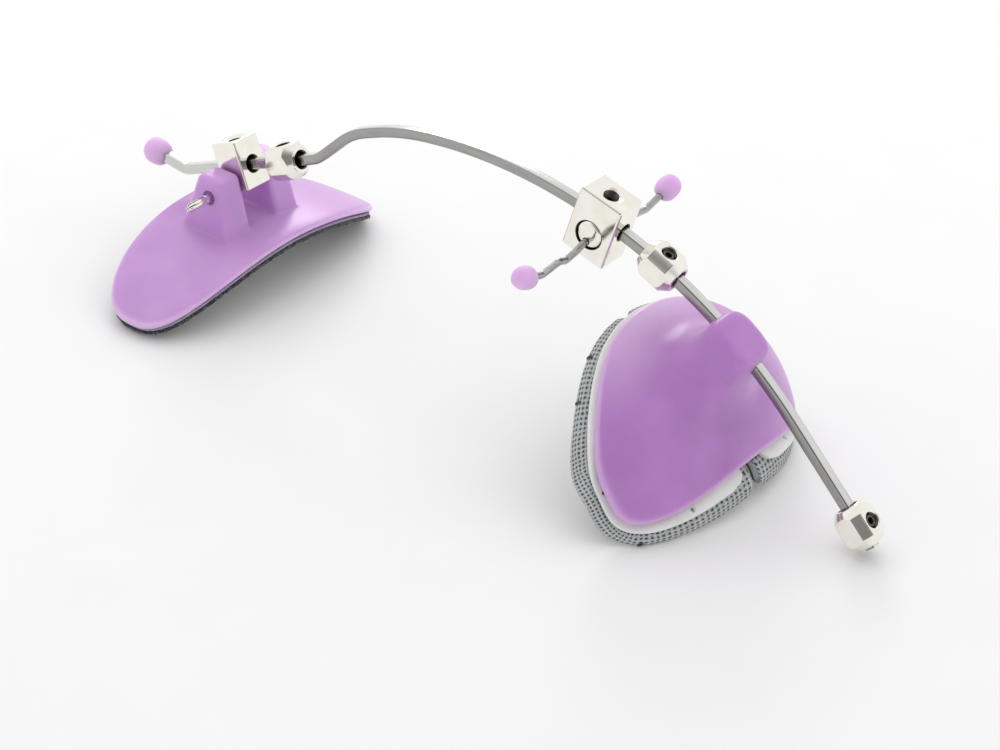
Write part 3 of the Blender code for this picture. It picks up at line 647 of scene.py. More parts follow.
def liner_material():
    n = Nodes("liner")
    n.set(Subsurface_Weight=0.25, Subsurface_Radius=(1.0, 0.95, 0.85), Subsurface_Scale=0.002,
          Specular_IOR_Level=0.35)
    where = n.coords()
    skin = n.noise(where, 1800.0, 4.0)
    colour = n.ramp(n.noise(where, 120.0, 3.0), ((0.3, (0.77, 0.77, 0.745)), (0.7, (0.84, 0.84, 0.82))))
    return n.paint(colour, n.remap(skin, 0.3, 0.7, 0.5, 0.65), n.bump(skin, 0.00003, 0.35))


def mesh_fabric():
    """Spacer mesh: rows of square holes that follow the rim, from the piece's own rows coordinate.
    Its skin side, below the rows, is the same dark nap as the forehead pad."""
    n = Nodes("spacer_mesh")
    n.set(Roughness=0.85, Sheen_Weight=0.1, Specular_IOR_Level=0.3)
    where = n.coords()
    across, down = n.split(n.uv("rows"))
    shake = n.math("MULTIPLY", n.math("SUBTRACT", n.noise(where, 700.0, 2.0), 0.5), 0.35)
    waves = [n.math("COSINE", n.math("MULTIPLY", n.math("ADD", spot, shake), 2 * math.pi))
             for spot in (across, down)]
    hole = n.remap(n.math("MINIMUM", *waves), -0.1, 0.35, 0.0, 1.0)
    knot = n.remap(n.math("MAXIMUM", *waves), -0.5, -0.95, 0.0, 1.0)
    yarn = n.noise(where, 3800.0, 4.0, 0.7)
    cloth = n.ramp(yarn, ((0.25, (0.36, 0.375, 0.38)), (0.75, (0.56, 0.575, 0.58))))
    cloth = n.mix(knot, cloth, (0.68, 0.69, 0.69))
    colour = n.mix(hole, cloth, (0.085, 0.095, 0.095))
    nap = n.ramp(yarn, ((0.3, (0.025, 0.025, 0.028)), (0.75, (0.12, 0.12, 0.13))))
    under = n.remap(n.math("ADD", down, shake), -2.0, -2.2, 0.0, 1.0)
    colour = n.mix(under, colour, nap)
    height = n.math("SUBTRACT", n.math("MULTIPLY", yarn, 0.25), hole)
    return n.paint(colour, None, n.bump(height, 0.0003, 0.9))


NICKEL = nickel()
# Painted shade: the dark lining of bores, tapped holes, seats, wire holes and slits.
BORE_SHADE = dark_steel("bore_shade_steel", 1800.0, (0.10, 0.09, 0.075), (0.24, 0.225, 0.20), (0.28, 0.45), 0.3)
BAR_STEEL = bar_steel()
WIRE_STEEL = wire_steel()
SCREW_STEEL = dark_steel("screw_steel", 2600.0, (0.09, 0.085, 0.08), (0.18, 0.17, 0.16), (0.32, 0.5), 0.4)
# In these two plastics the last colour is a painted glow for the marked vertices.
LILAC = plastic("lilac_plastic", (0.45, 0.205, 0.54), (0.51, 0.24, 0.60), 0.32, 0.4, 0.6,
                painted_glow_colour=(0.86, 0.62, 0.92))
# Painted light: a lit copy of the lilac plastic, paler because the forehead plate faces up to the light.
LIT_LILAC_COPY = plastic("lilac_plastic_lit_copy", (0.57, 0.305, 0.67), (0.62, 0.345, 0.715), 0.32, 0.4, 0.55,
                     painted_glow_colour=(0.88, 0.66, 0.94))
SOFT_LILAC = plastic("soft_lilac", (0.72, 0.45, 0.78), (0.78, 0.50, 0.84), 0.5, 0.5, 0.35, 250.0)
FOAM = foam_material()
FLEECE = fleece("fleece", (0.035, 0.035, 0.04), (0.22, 0.22, 0.24))
LINER = liner_material()
SPACER_MESH = mesh_fabric()


# Pieces of the bar

def make_bar():
    start = -sum(length for length, _ in TO_FOREHEAD)
    end = sum(length for length, _ in TO_CHIN)
    count = round((end - start) / 0.8)
    spots = [start + (end - start) * i / count for i in range(count + 1)]
    bar = raw(sweep(rounded_square(BAR_SIDE, 0.36), [bar_frame(s) for s in spots], spots))
    place(bar, "bar_steel_rod", "rod", BAR_STEEL, "main_rod", sharp=50)
    ball = raw(lathe(ball_profile(3.3, 3.6, -0.7, 2.3), "Y", 40), SOFT_LILAC)
    half = BAR_SIDE / 2 + 0.05
    join(ball, box(-half, half, -0.3, 8.0, -half, half))
    rough_up(ball, 0.09, 0.45)
    place(ball, "bar_end_ball", "rod", SOFT_LILAC, "rod_end_cap", local=bar_frame(start), sharp=60)


def ball_profile(radius, half_length, middle, power, steps=14):
    """A ball drawn out towards a bullet as the power grows."""
    profile = []
    for i in range(2 * steps + 1):
        turn = math.pi * i / (2 * steps) - math.pi / 2
        s = math.copysign(abs(math.sin(turn)) ** (2 / power), math.sin(turn))
        reach = 0.0 if i in (0, 2 * steps) else radius * math.cos(turn) ** (2 / power)
        profile.append((reach, middle + half_length * s))
    return profile


def rough_up(obj, amount, scale):
    """Soft dipped plastic is never a true ball."""
    for v in obj.data.vertices:
        v.co += v.co.normalized() * amount * noise.noise(v.co * scale + Vector((3.1, 1.7, 5.3)))


def grub_screw(name, local, body, length):
    low = BAR_SIDE / 2 + GAP
    profile = [(1.0, low), (1.5, low + 0.5)]
    turns = int((length - 0.9) / THREAD_PITCH)
    profile += [(1.38 if k % 2 else 1.52, low + 0.6 + THREAD_PITCH * k) for k in range(turns)]
    profile += [(1.45, low + length - 0.25), (1.25, low + length)]
    screw = raw(lathe(profile, sides=32))
    join(screw, cylinder(0.9, low + length - 1.3, low + length + 1.0, sides=6))
    place(screw, name + "_grub", body, SCREW_STEEL, name + "_screw", local=local, sharp=30)


def tapped_hole(mouth):
    """Cutter for a tapped hole, with the thread's crests as rings."""
    turns = int((mouth - 0.3) / THREAD_PITCH)
    profile = [(SCREW_HOLE, 0.0)]
    profile += [(SCREW_HOLE + (THREAD_DEPTH if k % 2 else 0.0), THREAD_PITCH + THREAD_PITCH * k)
                for k in range(turns)]
    profile += [(SCREW_HOLE, mouth), (SCREW_HOLE, mouth + 2.0)]
    return lathe(profile, sides=48)


def mouth_ring(top, wide, deep):
    """Cutter for the polished dish or broken edge that opens the hole."""
    profile = [(SCREW_HOLE + (wide - SCREW_HOLE) * k / 6, top - deep * (1 - k / 6) ** 1.5)
               for k in range(7)]
    return lathe([(SCREW_HOLE - 0.05, top - deep - 0.05)] + profile + [(wide, top + 2.0)], sides=64)


def make_collar(name, s, body):
    local = bar_frame(s)
    obj = raw(lathe(COLLAR_PROFILE, "Y", 128), NICKEL)
    side = COLLAR_SIDE / 2
    join(obj, box(-side, side, -9, 9, -side, side), "INTERSECT")
    round_edges(obj, 0.22, 4, 18)
    # Painted shade lines the bore and the tapped hole.
    join(obj, bore(BORE_RADIUS, COLLAR_LENGTH / 2, 0.3, 0.3), mat=BORE_SHADE)
    join(obj, mouth_ring(side, SCREW_HOLE + 0.3, 0.25))
    join(obj, tapped_hole(side - 0.2), mat=BORE_SHADE)
    crisp(obj, 30)
    place(obj, name + "_body", body, NICKEL, name, local=local, sharp=None)
    grub_screw(name, local, body, 2.0)


def make_block(name, s, body, sizes, edge, extra):
    width, length, top, bottom = sizes
    obj = raw(box(-width / 2, width / 2, -length / 2, length / 2, bottom, top), NICKEL)
    round_edges(obj, edge, 5)
    # Painted shade lines the bore, the tapped hole and the extra cut.
    join(obj, bore(BORE_RADIUS, length / 2, 0.25, 0.25), mat=BORE_SHADE)
    join(obj, mouth_ring(top, DISH_RADIUS, DISH_DEPTH))
    join(obj, tapped_hole(top - DISH_DEPTH + 0.1), mat=BORE_SHADE)
    join(obj, extra, mat=BORE_SHADE)
    crisp(obj, 30)
    local = bar_frame(s)
    place(obj, name + "_body", body, NICKEL, name, local=local, sharp=None)
    grub_screw(name, local, body, 3.6)


def make_crossbar():
    half_block = CROSS_BLOCK[0] / 2
    seat = bore(BARREL_RADIUS + 0.28, half_block, 0.12, 0.15, "X", 96, (0.0, 0.0, -BARREL_DROP))
    make_block("crossbar_block", 0.0, "crossbar_slider", CROSS_BLOCK, 0.6, seat)
    axis = bar_frame(0.0) @ Matrix.Translation((0.0, 0.0, -BARREL_DROP))
    face = half_block - 0.1
    half = [(0.0, -face - 0.35), (1.0, -face - 0.33), (1.9, -face - 0.25), (2.6, -face - 0.1),
            (3.0, -face + 0.08), (3.16, -face + 0.22), (3.2, -face + 0.42), (3.2, -1.7), (1.15, -1.7)]
    barrel = raw(lathe(half + [(r, -p) for r, p in reversed(half)], "X", 96), NICKEL)
    for way in (1, -1):
        hole = lathe(((WIRE_RADIUS + 0.1, way * (ARM_START - 0.1)), (WIRE_RADIUS + 0.1, way * face),
                      (WIRE_RADIUS + 0.28, way * (face + 0.8))), "X", 32, (0.0, 0.0, -WIRE_DROP))
        # Painted shade lines the wire's holes.
        join(barrel, hole, mat=BORE_SHADE)
    place(barrel, "crossbar_barrel_turned", "crossbar", NICKEL, "crossbar_barrel", local=axis, sharp=28)
    for way, side in ((1, "near"), (-1, "far")):
        make_arm(side, way, axis)


def make_arm(side, way, axis):
    centre = Vector((CAP_CENTRE[0], 0.0, CAP_CENTRE[1] + BARREL_DROP))
    points = [Vector((ARM_START, 0.0, -WIRE_DROP))]
    points += [Vector((x, 0.0, h + BARREL_DROP)) for x, h in ARM_BENDS]
    aim = (centre - points[-1]).normalized()
    points.append(centre + aim * 0.4)
    line = kinked(points, 0.75)
    frames = []
    for i, point in enumerate(line):
        run = (line[min(i + 1, len(line) - 1)] - line[max(i - 1, 0)]).normalized()
        frames.append(Matrix(((0.0, way * run.x, -way * run.z, way * point.x), (1.0, 0.0, 0.0, 0.0),
                              (0.0, run.z, run.x, point.z), (0.0, 0.0, 0.0, 1.0))))
    turns = [2 * math.pi * i / 20 for i in range(20)]
    wire = raw(sweep([(WIRE_RADIUS * math.cos(a), WIRE_RADIUS * math.sin(a)) for a in turns], frames))
    place(wire, side + "_hook_wire", "crossbar", WIRE_STEEL, side + "_hook_arm", local=axis, sharp=50)
    cap = raw(lathe(ball_profile(2.7, 3.1, 0.0, 2.5), "X", 36), SOFT_LILAC)
    socket = ((WIRE_RADIUS + 0.4, -3.4), (WIRE_RADIUS + 0.05, -2.7), (WIRE_RADIUS + 0.05, 0.6))
    join(cap, lathe(socket, "X", 24))
    rough_up(cap, 0.16, 0.4)
    tilt = math.atan2(aim.z, aim.x)
    turn = Matrix.Rotation(-tilt if way > 0 else math.pi + tilt, 4, "Y")
    local = axis @ Matrix.Translation((way * centre.x, 0.0, centre.z)) @ turn
    place(cap, side + "_hook_ball", "crossbar", SOFT_LILAC, side + "_hook_cap", local=local, sharp=50)


# Forehead rest

def shell_point(a, b, inset):
    turn = a / SHELL_BEND
    radius = SHELL_BEND - inset
    return SHELL_CREST + Vector((radius * math.sin(turn), b, radius * math.cos(turn) - SHELL_BEND))


def shell_outline(growth):
    def spot(x, y, extra=0.0):
        swept = y * (SHELL_HALF_HEIGHT + growth + extra) + SHELL_SWEEP * x * x
        return x * (SHELL_HALF_WIDTH + growth + extra), swept
    return spot


def post(side):
    bm = bmesh.new()
    rings = []
    middle = SHELL_CREST.y - 0.4
    low, high = SHELL_CREST.z - 1.0, PIN_PLACE.z + 4.9
    for level, half, outer, sink in ((low, 8.15, 13.0, True), (high, 3.7, 11.6, False)):
        ring = []
        for x, y in ((4.7, -half), (outer, -half), (outer, half), (4.7, half)):
            drop = SHELL_BEND - math.sqrt(SHELL_BEND ** 2 - x * x) if sink else 0.0
            ring.append(bm.verts.new((side * x, middle + y, level - drop)))
        rings.append(ring)
    return skin(bm, rings)


def make_forehead_rest():
    make_block("forehead_block", FOREHEAD_BLOCK_AT, "forehead_slider", HEAD_BLOCK, 0.5,
               cylinder(1.4, -9, 9, "X", 40, (0.0, *PIN_AT)))

    def crown(e):
        return 0.35 * max(0.0, 1 - e / 0.22) ** 2

    outline = shell_outline(-0.5)
    shell = raw(patch(shell_point, outline, SHELL_POWER, 0.0, SHELL_THICK, 100, 44, 6, crown))
    for side in (1, -1):
        horn = raw(post(side))
        round_edges(horn, 1.2, 4)
        bm = bmesh.new()
        bm.from_mesh(horn.data)
        bpy.data.objects.remove(horn, do_unlink=True)
        join(shell, bm, "UNION")
    remesh(shell, 0.32, 5)
    join(shell, cylinder(1.25, -20, 20, "X", 40, PIN_PLACE))
    for side in (1, -1):
        x = side * 11.0
        join(shell, lathe(((1.85, x), (1.95, x + side * 3.0)), "X", 40, PIN_PLACE))
    # Painted glow: the plate is painted paler along its rim.
    mark_painted_glow(shell, lambda co: 0.6 * clamp((rim_share(co, 1.0) - 0.96) / 0.025) ** 2)
    # The plate's lit copy of the lilac plastic is painted light.
    place(shell, "forehead_plate", "forehead_rest", LIT_LILAC_COPY, "forehead_shell", sharp=40)

    inset = SHELL_THICK + 0.1
    foam = raw(patch(shell_point, shell_outline(-0.6), SHELL_POWER, inset, FOAM_THICK, 90, 36))
    for v in foam.data.vertices:
        v.co.z += 0.05 * noise.noise(v.co * 0.8)
    place(foam, "forehead_foam_layer", "forehead_rest", FOAM, "forehead_foam")

    inset += FOAM_THICK + 0.1
    pad = raw(patch(shell_point, shell_outline(-0.1), SHELL_POWER, inset, FLEECE_THICK, 170, 66, 8))
    for v in pad.data.vertices:
        rim = max(0.0, 1 - (1 - rim_share(v.co)) * 12)
        shift = noise.noise(v.co * 0.9) * 0.26 + noise.noise(v.co * 2.6) * 0.24
        away = Vector((v.co.x, v.co.y - SHELL_CREST.y, 0.0)).normalized()
        v.co += away * shift * rim * 1.5 + Vector((0, 0, 1)) * shift * 0.15
    place(pad, "forehead_fleece", "forehead_rest", FLEECE, "forehead_pad")

    def edge(turn, depth, extra):
        x, y = on_squircle(turn, SHELL_POWER)
        return shell_point(*shell_outline(-0.1)(x, y, extra), inset + depth * FLEECE_THICK)

    nap = raw(fringe(edge, 1100, 0.55, 0.075, 320, 0.2, 7))
    place(nap, "forehead_fleece_nap", "forehead_rest", FLEECE, sharp=60)
    make_pin()


def rim_share(co, inset=3.5):
    """How near a point of the forehead rest is to its outline, one at the rim of its pad."""
    turn = math.asin(max(-1.0, min(1.0, co.x / (SHELL_BEND - inset))))
    x = SHELL_BEND * turn / (SHELL_HALF_WIDTH + 0.2)
    y = (co.y - SHELL_CREST.y - SHELL_SWEEP * x * x) / (SHELL_HALF_HEIGHT + 0.2)
    return min(1.0, (abs(x) ** SHELL_POWER + abs(y) ** SHELL_POWER) ** (1 / SHELL_POWER))


def fringe(edge, hairs, length, thick, lumps, lump_size, seed):
    """Loose fibres and pilled lumps round a rim; edge(turn, depth, extra) gives points of the rim."""
    pick = random.Random(seed)
    bm = bmesh.new()
    for k in range(hairs):
        turn = 2 * math.pi * pick.random()
        depth = pick.uniform(0.15, 0.95)
        root = edge(turn, depth, 0.05)
        away = (edge(turn, depth, 1.0) - root).normalized()
        side = (edge(turn + 0.01, depth, 0.0) - edge(turn - 0.01, depth, 0.0)).normalized()
        droop = Vector((0, 0, -1)) * pick.uniform(-0.2, 0.5)
        aim = (away + side * pick.uniform(-0.9, 0.9) + droop).normalized()
        bend = side * pick.uniform(-0.6, 0.6) + droop * 0.6
        reach = length * pick.uniform(0.45, 1.0)
        up = aim.cross(side).normalized()
        rings = []
        for share, size in ((0.0, 1.0), (0.45, 0.75), (1.0, 0.25)):
            middle = root + aim * reach * share + bend * reach * share * share * 0.5
            rings.append([bm.verts.new(middle + (side * math.cos(t) + up * math.sin(t)) * thick * size)
                          for t in (0.0, 2.1, 4.2)])
        skin(bm, rings)
    for k in range(lumps):
        turn = 2 * math.pi * pick.random()
        spot = edge(turn, pick.uniform(0.25, 0.9), pick.uniform(-0.15, 0.1))
        size = lump_size * pick.uniform(0.6, 1.3)
        made = bmesh.ops.create_icosphere(bm, subdivisions=2, radius=size)
        for v in made["verts"]:
            v.co *= 1 + 0.45 * noise.noise(v.co * 5.0 + Vector((k, 0, 0)))
            v.co += spot
    return bm


def make_pin():
    """A pin whose near end is split four ways and drawn in to a blunt point."""
    tip = PIN_NEAR
    profile = ((0.0, -PIN_FAR), (0.8, -PIN_FAR), (1.08, -PIN_FAR + 0.25), (1.08, tip - 6.2),
               (0.98, tip - 6.0), (1.08, tip - 5.7), (1.08, tip - 2.4), (1.02, tip - 1.6),
               (0.98, tip - 0.5), (0.78, tip - 0.1), (0.0, tip))
    pin = raw(lathe(profile, "X", 48, PIN_PLACE), NICKEL)
    for k in range(4):
        through = k % 2
        start = tip - (2.2 if through else 5.4)
        low = -1.6 if through else 0.66
        cut = box(start, tip + 1.0, -0.13, 0.13, low, 1.6)
        turn = Matrix.Rotation(math.pi * k / 4, 4, "X")
        # Painted shade lines the slits.
        join(pin, moved(cut, Matrix.Translation(PIN_PLACE) @ turn), mat=BORE_SHADE)
    place(pin, "forehead_cross_pin", "forehead_rest", NICKEL, "forehead_pin", sharp=25)


# Chin cup

def cup_point(a, b, inset):
    across = a / CUP_SIDE_BEND
    down = CUP_TILT + b / CUP_BEND
    reach = CUP_BEND - CUP_SIDE_BEND * (1 - math.cos(across))
    point = Vector((CUP_SIDE_BEND * math.sin(across), reach * math.sin(down), reach * math.cos(down)))
    normal = Vector((math.sin(across), math.cos(across) * math.sin(down),
                     math.cos(across) * math.cos(down)))
    return CUP_CENTRE + point - normal * inset


def cup_place(co):
    """The inverse of cup_point: millimetres across and down the patch, and below its outer face."""
    dy, dz = co.y - CUP_CENTRE.y, co.z - CUP_CENTRE.z
    reach = math.hypot(dy, dz) - (CUP_BEND - CUP_SIDE_BEND)
    across = math.atan2(co.x, reach)
    inset = CUP_SIDE_BEND - math.hypot(co.x, reach)
    return across * CUP_SIDE_BEND, (math.atan2(dy, dz) - CUP_TILT) * CUP_BEND, inset


def pad_outline(x, y, extra=0.0):
    """The pad stands out further at its upper corners."""
    side, lip, lower = PAD_GROWTH
    swell = 1.3 * math.exp(-((y + 0.55) / 0.4) ** 2) * min(1.0, abs(x) / 0.4)
    return cup_outline(side + swell, lip + swell, lower)(x, y, extra)


def cup_outline(side, lip, lower):
    def spot(x, y, extra=0.0):
        half = (CUP_TO_CHIN + lower if y > 0 else CUP_TO_LIP + lip) + extra
        return x * (CUP_HALF_WIDTH + side + extra), y * half + CUP_SWEEP * x * x
    return spot


def cup_share(a, b):
    """How far out a place lies, one at the cup's rim, and how far towards the chin or the lip."""
    x = a / CUP_HALF_WIDTH
    y = b - CUP_SWEEP * x * x
    y /= CUP_TO_CHIN if y > 0 else CUP_TO_LIP
    return (abs(x) ** CUP_POWER + abs(y) ** CUP_POWER) ** (1 / CUP_POWER), y


def cup_painted_glow(co):
    """Painted glow at the cup's rim and painted light towards the lip; none on its boss."""
    a, b, inset = cup_place(co)
    share, y = cup_share(a, b)
    # Painted glow at the rim and painted light towards the lip.
    rim = 0.55 * clamp((share - 0.945) / 0.045) ** 2
    lip = clamp((-0.3 - y) / 0.6) * math.exp(-(a / 19.0) ** 2)
    return max(rim, lip) * clamp(1.0 + inset / 2.0)


def curl(a, b):
    """How far liner and pad rise at a place beyond the cup's rim; they hardly do at the lip."""
    share, y = cup_share(a, b)
    past = math.hypot(a, b) * (1 - 1 / share) if share > 1 else 0.0
    flat = clamp((-0.3 - y) / 0.45)
    height = CURL_HEIGHT * (1 - 0.85 * flat * flat * (3 - 2 * flat))
    return height * (1 - math.exp(-max(0.0, past - RIM_CLEAR - 0.2) / CURL_REACH))


def curled_point(a, b, inset):
    return cup_point(a, b, inset - curl(a, b))


def surface_below(here, x, u, inset):
    start = here @ Vector((x, u, 0.0)) - CUP_CENTRE
    aim = here.to_3x3() @ Vector((0.0, 0.0, -1.0))
    across = math.asin(x / CUP_SIDE_BEND)
    radius = CUP_BEND - CUP_SIDE_BEND * (1 - math.cos(across)) - inset
    b = start.y * aim.y + start.z * aim.z
    c = start.y ** 2 + start.z ** 2 - radius ** 2
    return b + math.sqrt(b * b - c)


def boss(here, sides=72):
    smooth = spline([Vector(row) for row in BOSS_RINGS], 6)
    bm = bmesh.new()
    rings = []
    for share, half_width, half_length in [Vector((0.0, 6.0, 5.0))] + smooth:
        ring = []
        for i in range(sides):
            cx, su = on_squircle(2 * math.pi * (i + 0.5) / sides, 3.2 - 1.0 * (1 - share) ** 2)
            x, u = cx * half_width, su * half_length
            floor = surface_below(here, x, u, 0.35)
            ring.append(bm.verts.new(here @ Vector((x, u, floor + (BOSS_TOP - floor) * max(share, 0.0)))))
        rings.append(ring)
    skin(bm, rings, False)
    bridge(bm, [bm.verts.new(here @ Vector((0, 0, surface_below(here, 0, 0, 0.35))))], rings[0])
    bridge(bm, rings[-1], [bm.verts.new(here @ Vector((0, 0, BOSS_TOP + 0.12)))])
    return bm


def slit_cutter(growth, way, sizes):
    """A slit whose mouth flares into two round corners."""
    deep, corner, half = sizes
    reach = (CUP_TO_LIP if way < 0 else CUP_TO_CHIN) + growth
    middle = PAD_TOP + PAD_THICK / 2
    edge = curled_point(0.0, way * reach, middle)
    inner = curled_point(0.0, way * (reach - deep), middle)
    run = (edge - inner).normalized()
    swept = max(0, way) * CUP_SWEEP * ((half + corner) / CUP_HALF_WIDTH) ** 2
    depth = (edge - inner).length + 0.8 + swept
    outline = [(half - 0.1, -0.2), (half, depth - corner)]
    for i in range(1, 9):
        turn = math.pi / 2 * i / 8
        outline.append((half + corner * (1 - math.cos(turn)),
                        depth - corner + corner * math.sin(turn)))
    outline += [(half + corner + 1.0, depth + 0.4), (half + corner + 1.0, depth + 4.0)]
    loop = outline + [(-x, y) for x, y in reversed(outline)]
    bm = bmesh.new()
    skin(bm, [[bm.verts.new((x, y, z)) for x, y in loop] for z in (-6.0, 6.0)])
    return moved(bm, Matrix.Translation(inner) @ Matrix.Rotation(math.atan2(run.z, run.y), 4, "X"))


def make_chin_cup():
    here = bar_frame(CHIN_BOSS_AT)
    to_bar = here.inverted()
    cup = raw(patch(cup_point, cup_outline(-0.3, -0.3, -0.3), CUP_POWER, 0.0, CUP_THICK, 96, 70))
    join(cup, boss(here), "UNION")
    remesh(cup, 0.34, 6)

    def near_boss(co):
        spot = to_bar @ co
        reach = math.hypot(spot.x, spot.y * 1.15)
        if cup_place(co)[2] > 0.9:
            return 0.0
        return clamp(min((reach - SADDLE_FROM) / 2.5, (SADDLE_TO - reach) / 4.0))

    soften(cup, 45, near_boss)
    passage = [bar_frame(CHIN_BOSS_AT + t * 16 / 12) for t in range(-12, 13)]
    join(cup, sweep(rounded_square(BAR_SIDE + 0.5, 0.4), passage))
    # Painted glow at the rim and painted light towards the lip.
    mark_painted_glow(cup, cup_painted_glow)
    place(cup, "chin_cup_moulding", "chin_rest", LILAC, "chin_cup", sharp=45)
    make_liner()
    make_pad()


def make_liner():
    outline = cup_outline(*LINER_GROWTH)
    liner = raw(patch(curled_point, outline, CUP_POWER, LINER_TOP, LINER_THICK, 90, 64, 8), LINER)
    join(liner, slit_cutter(LINER_GROWTH[2], 1, LINER_NOTCH), mat=LINER)
    for a, b in LINER_VENTS:
        spot = curled_point(a, b, LINER_TOP)
        away = (curled_point(a, b, LINER_TOP - 1.0) - spot).normalized()
        join(liner, moved(cylinder(0.45, -2.0, 2.0, "Z", 20), facing(spot, away)))
    place(liner, "chin_liner_moulding", "chin_rest", LINER, "chin_liner", sharp=50)


def make_pad():
    def crown(e):
        return 0.5 * max(0.0, 1 - e / 0.09) ** 2

    pad = raw(patch(curled_point, pad_outline, CUP_POWER, PAD_TOP, PAD_THICK, 110, 84, 8, crown))
    join(pad, slit_cutter(PAD_GROWTH[1], -1, LIP_SLIT))
    join(pad, slit_cutter(PAD_GROWTH[2], 1, CHIN_SLIT))
    remesh(pad, 0.34, 6)
    for v in pad.data.vertices:
        a, b, inset = cup_place(v.co)
        ripple = 0.09 * noise.noise(v.co * 0.55) + 0.05 * noise.noise(v.co * 1.7)
        v.co += (cup_point(a, b, inset - 1.0) - v.co) * ripple
    rows_uv(pad)
    place(pad, "chin_mesh_pad", "chin_rest", SPACER_MESH, "chin_pad")

    def edge(turn, depth, extra):
        a, b = pad_outline(*on_squircle(turn, CUP_POWER), extra + 0.35)
        return curled_point(a, b, PAD_TOP + 0.5 + depth * (PAD_THICK - 1.0))

    def lower_edge(turn, depth, extra):
        if abs(math.cos(turn)) <= 0.14:
            turn += math.copysign(0.25, math.sin(turn) * math.cos(turn))
        return edge(turn, 0.8 + 0.3 * depth, extra)

    nap = raw(fringe(lower_edge, 800, 0.6, 0.06, 60, 0.13, 11))
    place(nap, "chin_pad_nap", "chin_rest", FLEECE, sharp=60)
    stitches(edge)


def stitches(edge):
    """Short dark thread ends that tack the mesh to its backing."""
    bm = bmesh.new()
    for degrees in PAD_TACKS:
        turn = math.radians(degrees)
        high = edge(turn, -0.35, -0.9)
        low = edge(turn, 0.25, 0.25)
        middle = (high + low) / 2
        part = lathe(ball_profile(0.42, (high - low).length * 0.62, 0.0, 3.0, 6), "Z", 12)
        moved(part, facing(middle, (high - low).normalized()))
        for v in part.verts:
            v.co += Vector((1, 1, 1)) * 0.12 * noise.noise(v.co * 2.0)
        work = bpy.data.meshes.new("stitch")
        part.to_mesh(work)
        part.free()
        bm.from_mesh(work)
    place(raw(bm), "chin_pad_stitches", "chin_rest", FLEECE, sharp=60)


def rows_uv(obj, along_pitch=1.5, down_pitch=1.2):
    """Rows of mesh that follow the rim: u counts holes along the outline, v counts down from the
    outer face, over the rim and onto the face that meets the skin."""
    line = []
    for i in range(1200):
        x, y = on_squircle(2 * math.pi * i / 1200, CUP_POWER)
        line.append(pad_outline(x, y, 0.8))
    line = np.array(line)
    steps = np.linalg.norm(np.roll(line, -1, 0) - line, axis=1)
    along = np.concatenate(([0.0], np.cumsum(steps)[:-1]))
    total = round(steps.sum() / along_pitch)
    count = len(obj.data.vertices)
    spots = np.zeros((count, 2))
    depth = np.zeros(count)
    for i, v in enumerate(obj.data.vertices):
        a, b, inset = cup_place(v.co)
        spots[i] = a, b
        depth[i] = inset + curl(a, b) - PAD_TOP
    u = np.zeros(count)
    inside = np.zeros(count)
    for start in range(0, count, 2000):
        gap = np.linalg.norm(spots[start:start + 2000, None] - line[None], axis=2)
        u[start:start + 2000] = along[gap.argmin(1)] / steps.sum() * total
        inside[start:start + 2000] = gap.min(1)
    share = np.clip(depth / PAD_THICK, 0.0, 1.0)
    v = ((1 - 2 * share) * inside - depth) / down_pitch
    layer = obj.data.uv_layers.new(name="rows")
    index = np.zeros(len(obj.data.loops), np.int32)
    obj.data.loops.foreach_get("vertex_index", index)
    uv = np.stack((u[index], v[index]), 1)
    for face in obj.data.polygons:
        loops = list(face.loop_indices)
        if uv[loops, 0].max() - uv[loops, 0].min() > total / 2:
            low = [i for i in loops if uv[i, 0] < total / 2]
            uv[low, 0] += total
    layer.data.foreach_set("uv", uv.ravel())


# Studio

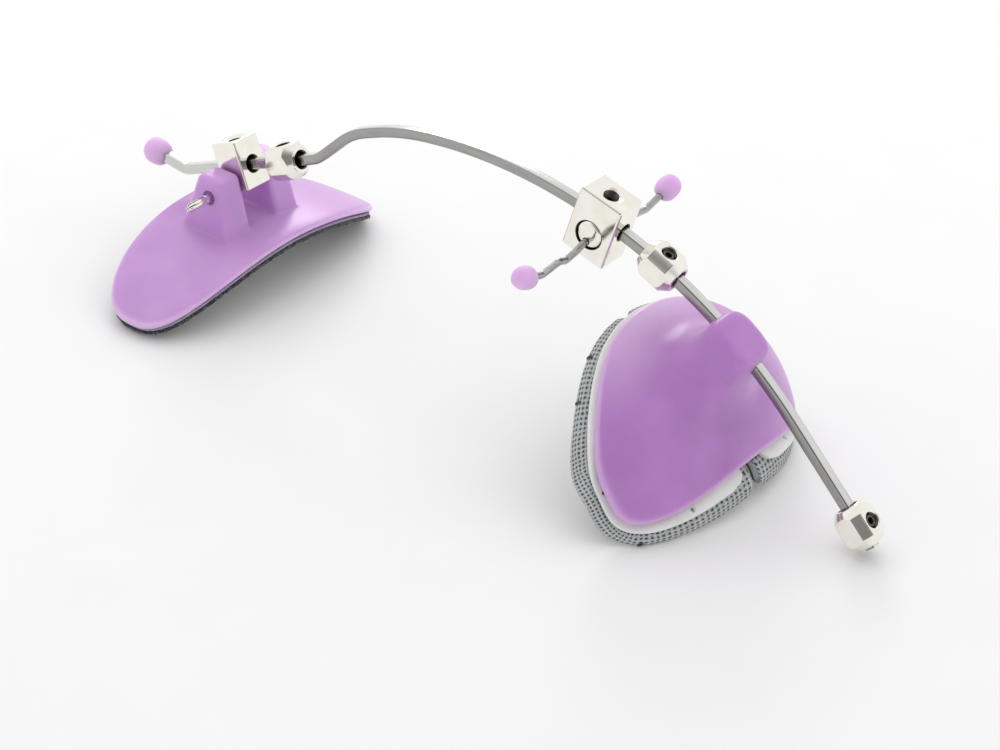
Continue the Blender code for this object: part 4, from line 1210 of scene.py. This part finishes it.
def studio():
    """A white tent, whose darker opening shows only in reflections, a pale floor, two soft lamps
    and a small one behind that gives the plastic its highlights."""
    scene = bpy.context.scene
    scene.view_settings.view_transform = "Standard"
    world = bpy.data.worlds.new("studio")
    scene.world = world
    world.use_nodes = True
    n = Nodes("studio", world.node_tree)
    way = n.node("ShaderNodeTexCoord", "Generated")
    toward = n.node("ShaderNodeVectorMath", "Value", {0: way, 1: OPENING}, operation="DOT_PRODUCT")
    tent = n.ramp(toward, [(spot, (level,) * 3) for spot, level in TENT_LEVELS])
    mirrored = n.node("ShaderNodeLightPath", "Is Glossy Ray")
    back = n.tree.nodes["Background"].inputs
    n.feed(back["Color"], n.mix(mirrored, (0.82, 0.82, 0.82), tent))
    n.feed(back["Strength"], 0.97)

    floor = bpy.data.meshes.new("floor")
    reach = 1.6
    corners = ((-reach, -reach), (reach, -reach), (reach, reach), (-reach, reach))
    floor.from_pydata([(x, y, -0.0002) for x, y in corners], [], [(0, 1, 2, 3)])
    plane = bpy.data.objects.new("floor", floor)
    scene.collection.objects.link(plane)
    n = Nodes("floor")
    n.set(Roughness=0.9, Specular_IOR_Level=0.1)
    n.paint(n.ramp(n.noise(n.coords(), 40.0), ((0.3, (0.92,) * 3), (0.7, (0.935,) * 3))))
    floor.materials.append(n.mat)

    for name, spot, size, power, seen in LAMPS:
        data = bpy.data.lights.new(name, "AREA")
        data.shape = "DISK"
        data.size = size
        data.energy = power
        lamp = bpy.data.objects.new(name, data)
        lamp.location = spot
        lamp.visible_glossy = seen
        lamp.rotation_euler = (-Vector(spot)).to_track_quat("-Z", "Y").to_euler()
        scene.collection.objects.link(lamp)


def camera():
    data = bpy.data.cameras.new("camera")
    data.sensor_fit = "HORIZONTAL"
    data.sensor_width = 36.0
    data.lens = CAMERA_LENS
    data.clip_start = 0.02
    data.clip_end = 20.0
    cam = bpy.data.objects.new("camera", data)
    bpy.context.scene.collection.objects.link(cam)
    right, up, back = Vector(CAMERA_RIGHT), -Vector(CAMERA_DOWN), -Vector(CAMERA_LOOK)
    turn = Matrix((right, up, back)).transposed().to_4x4()
    there = TO_FRAME @ Matrix.Translation(CAMERA_AT) @ turn
    there.translation *= MM
    cam.matrix_world = there
    bpy.context.scene.camera = cam


camera()
studio()
make_bar()
make_collar("upper_collar", UPPER_COLLAR_AT, "upper_stop")
make_collar("middle_collar", MIDDLE_COLLAR_AT, "middle_stop")
make_collar("lower_collar", LOWER_COLLAR_AT, "lower_stop")
make_crossbar()
make_forehead_rest()
make_chin_cup()
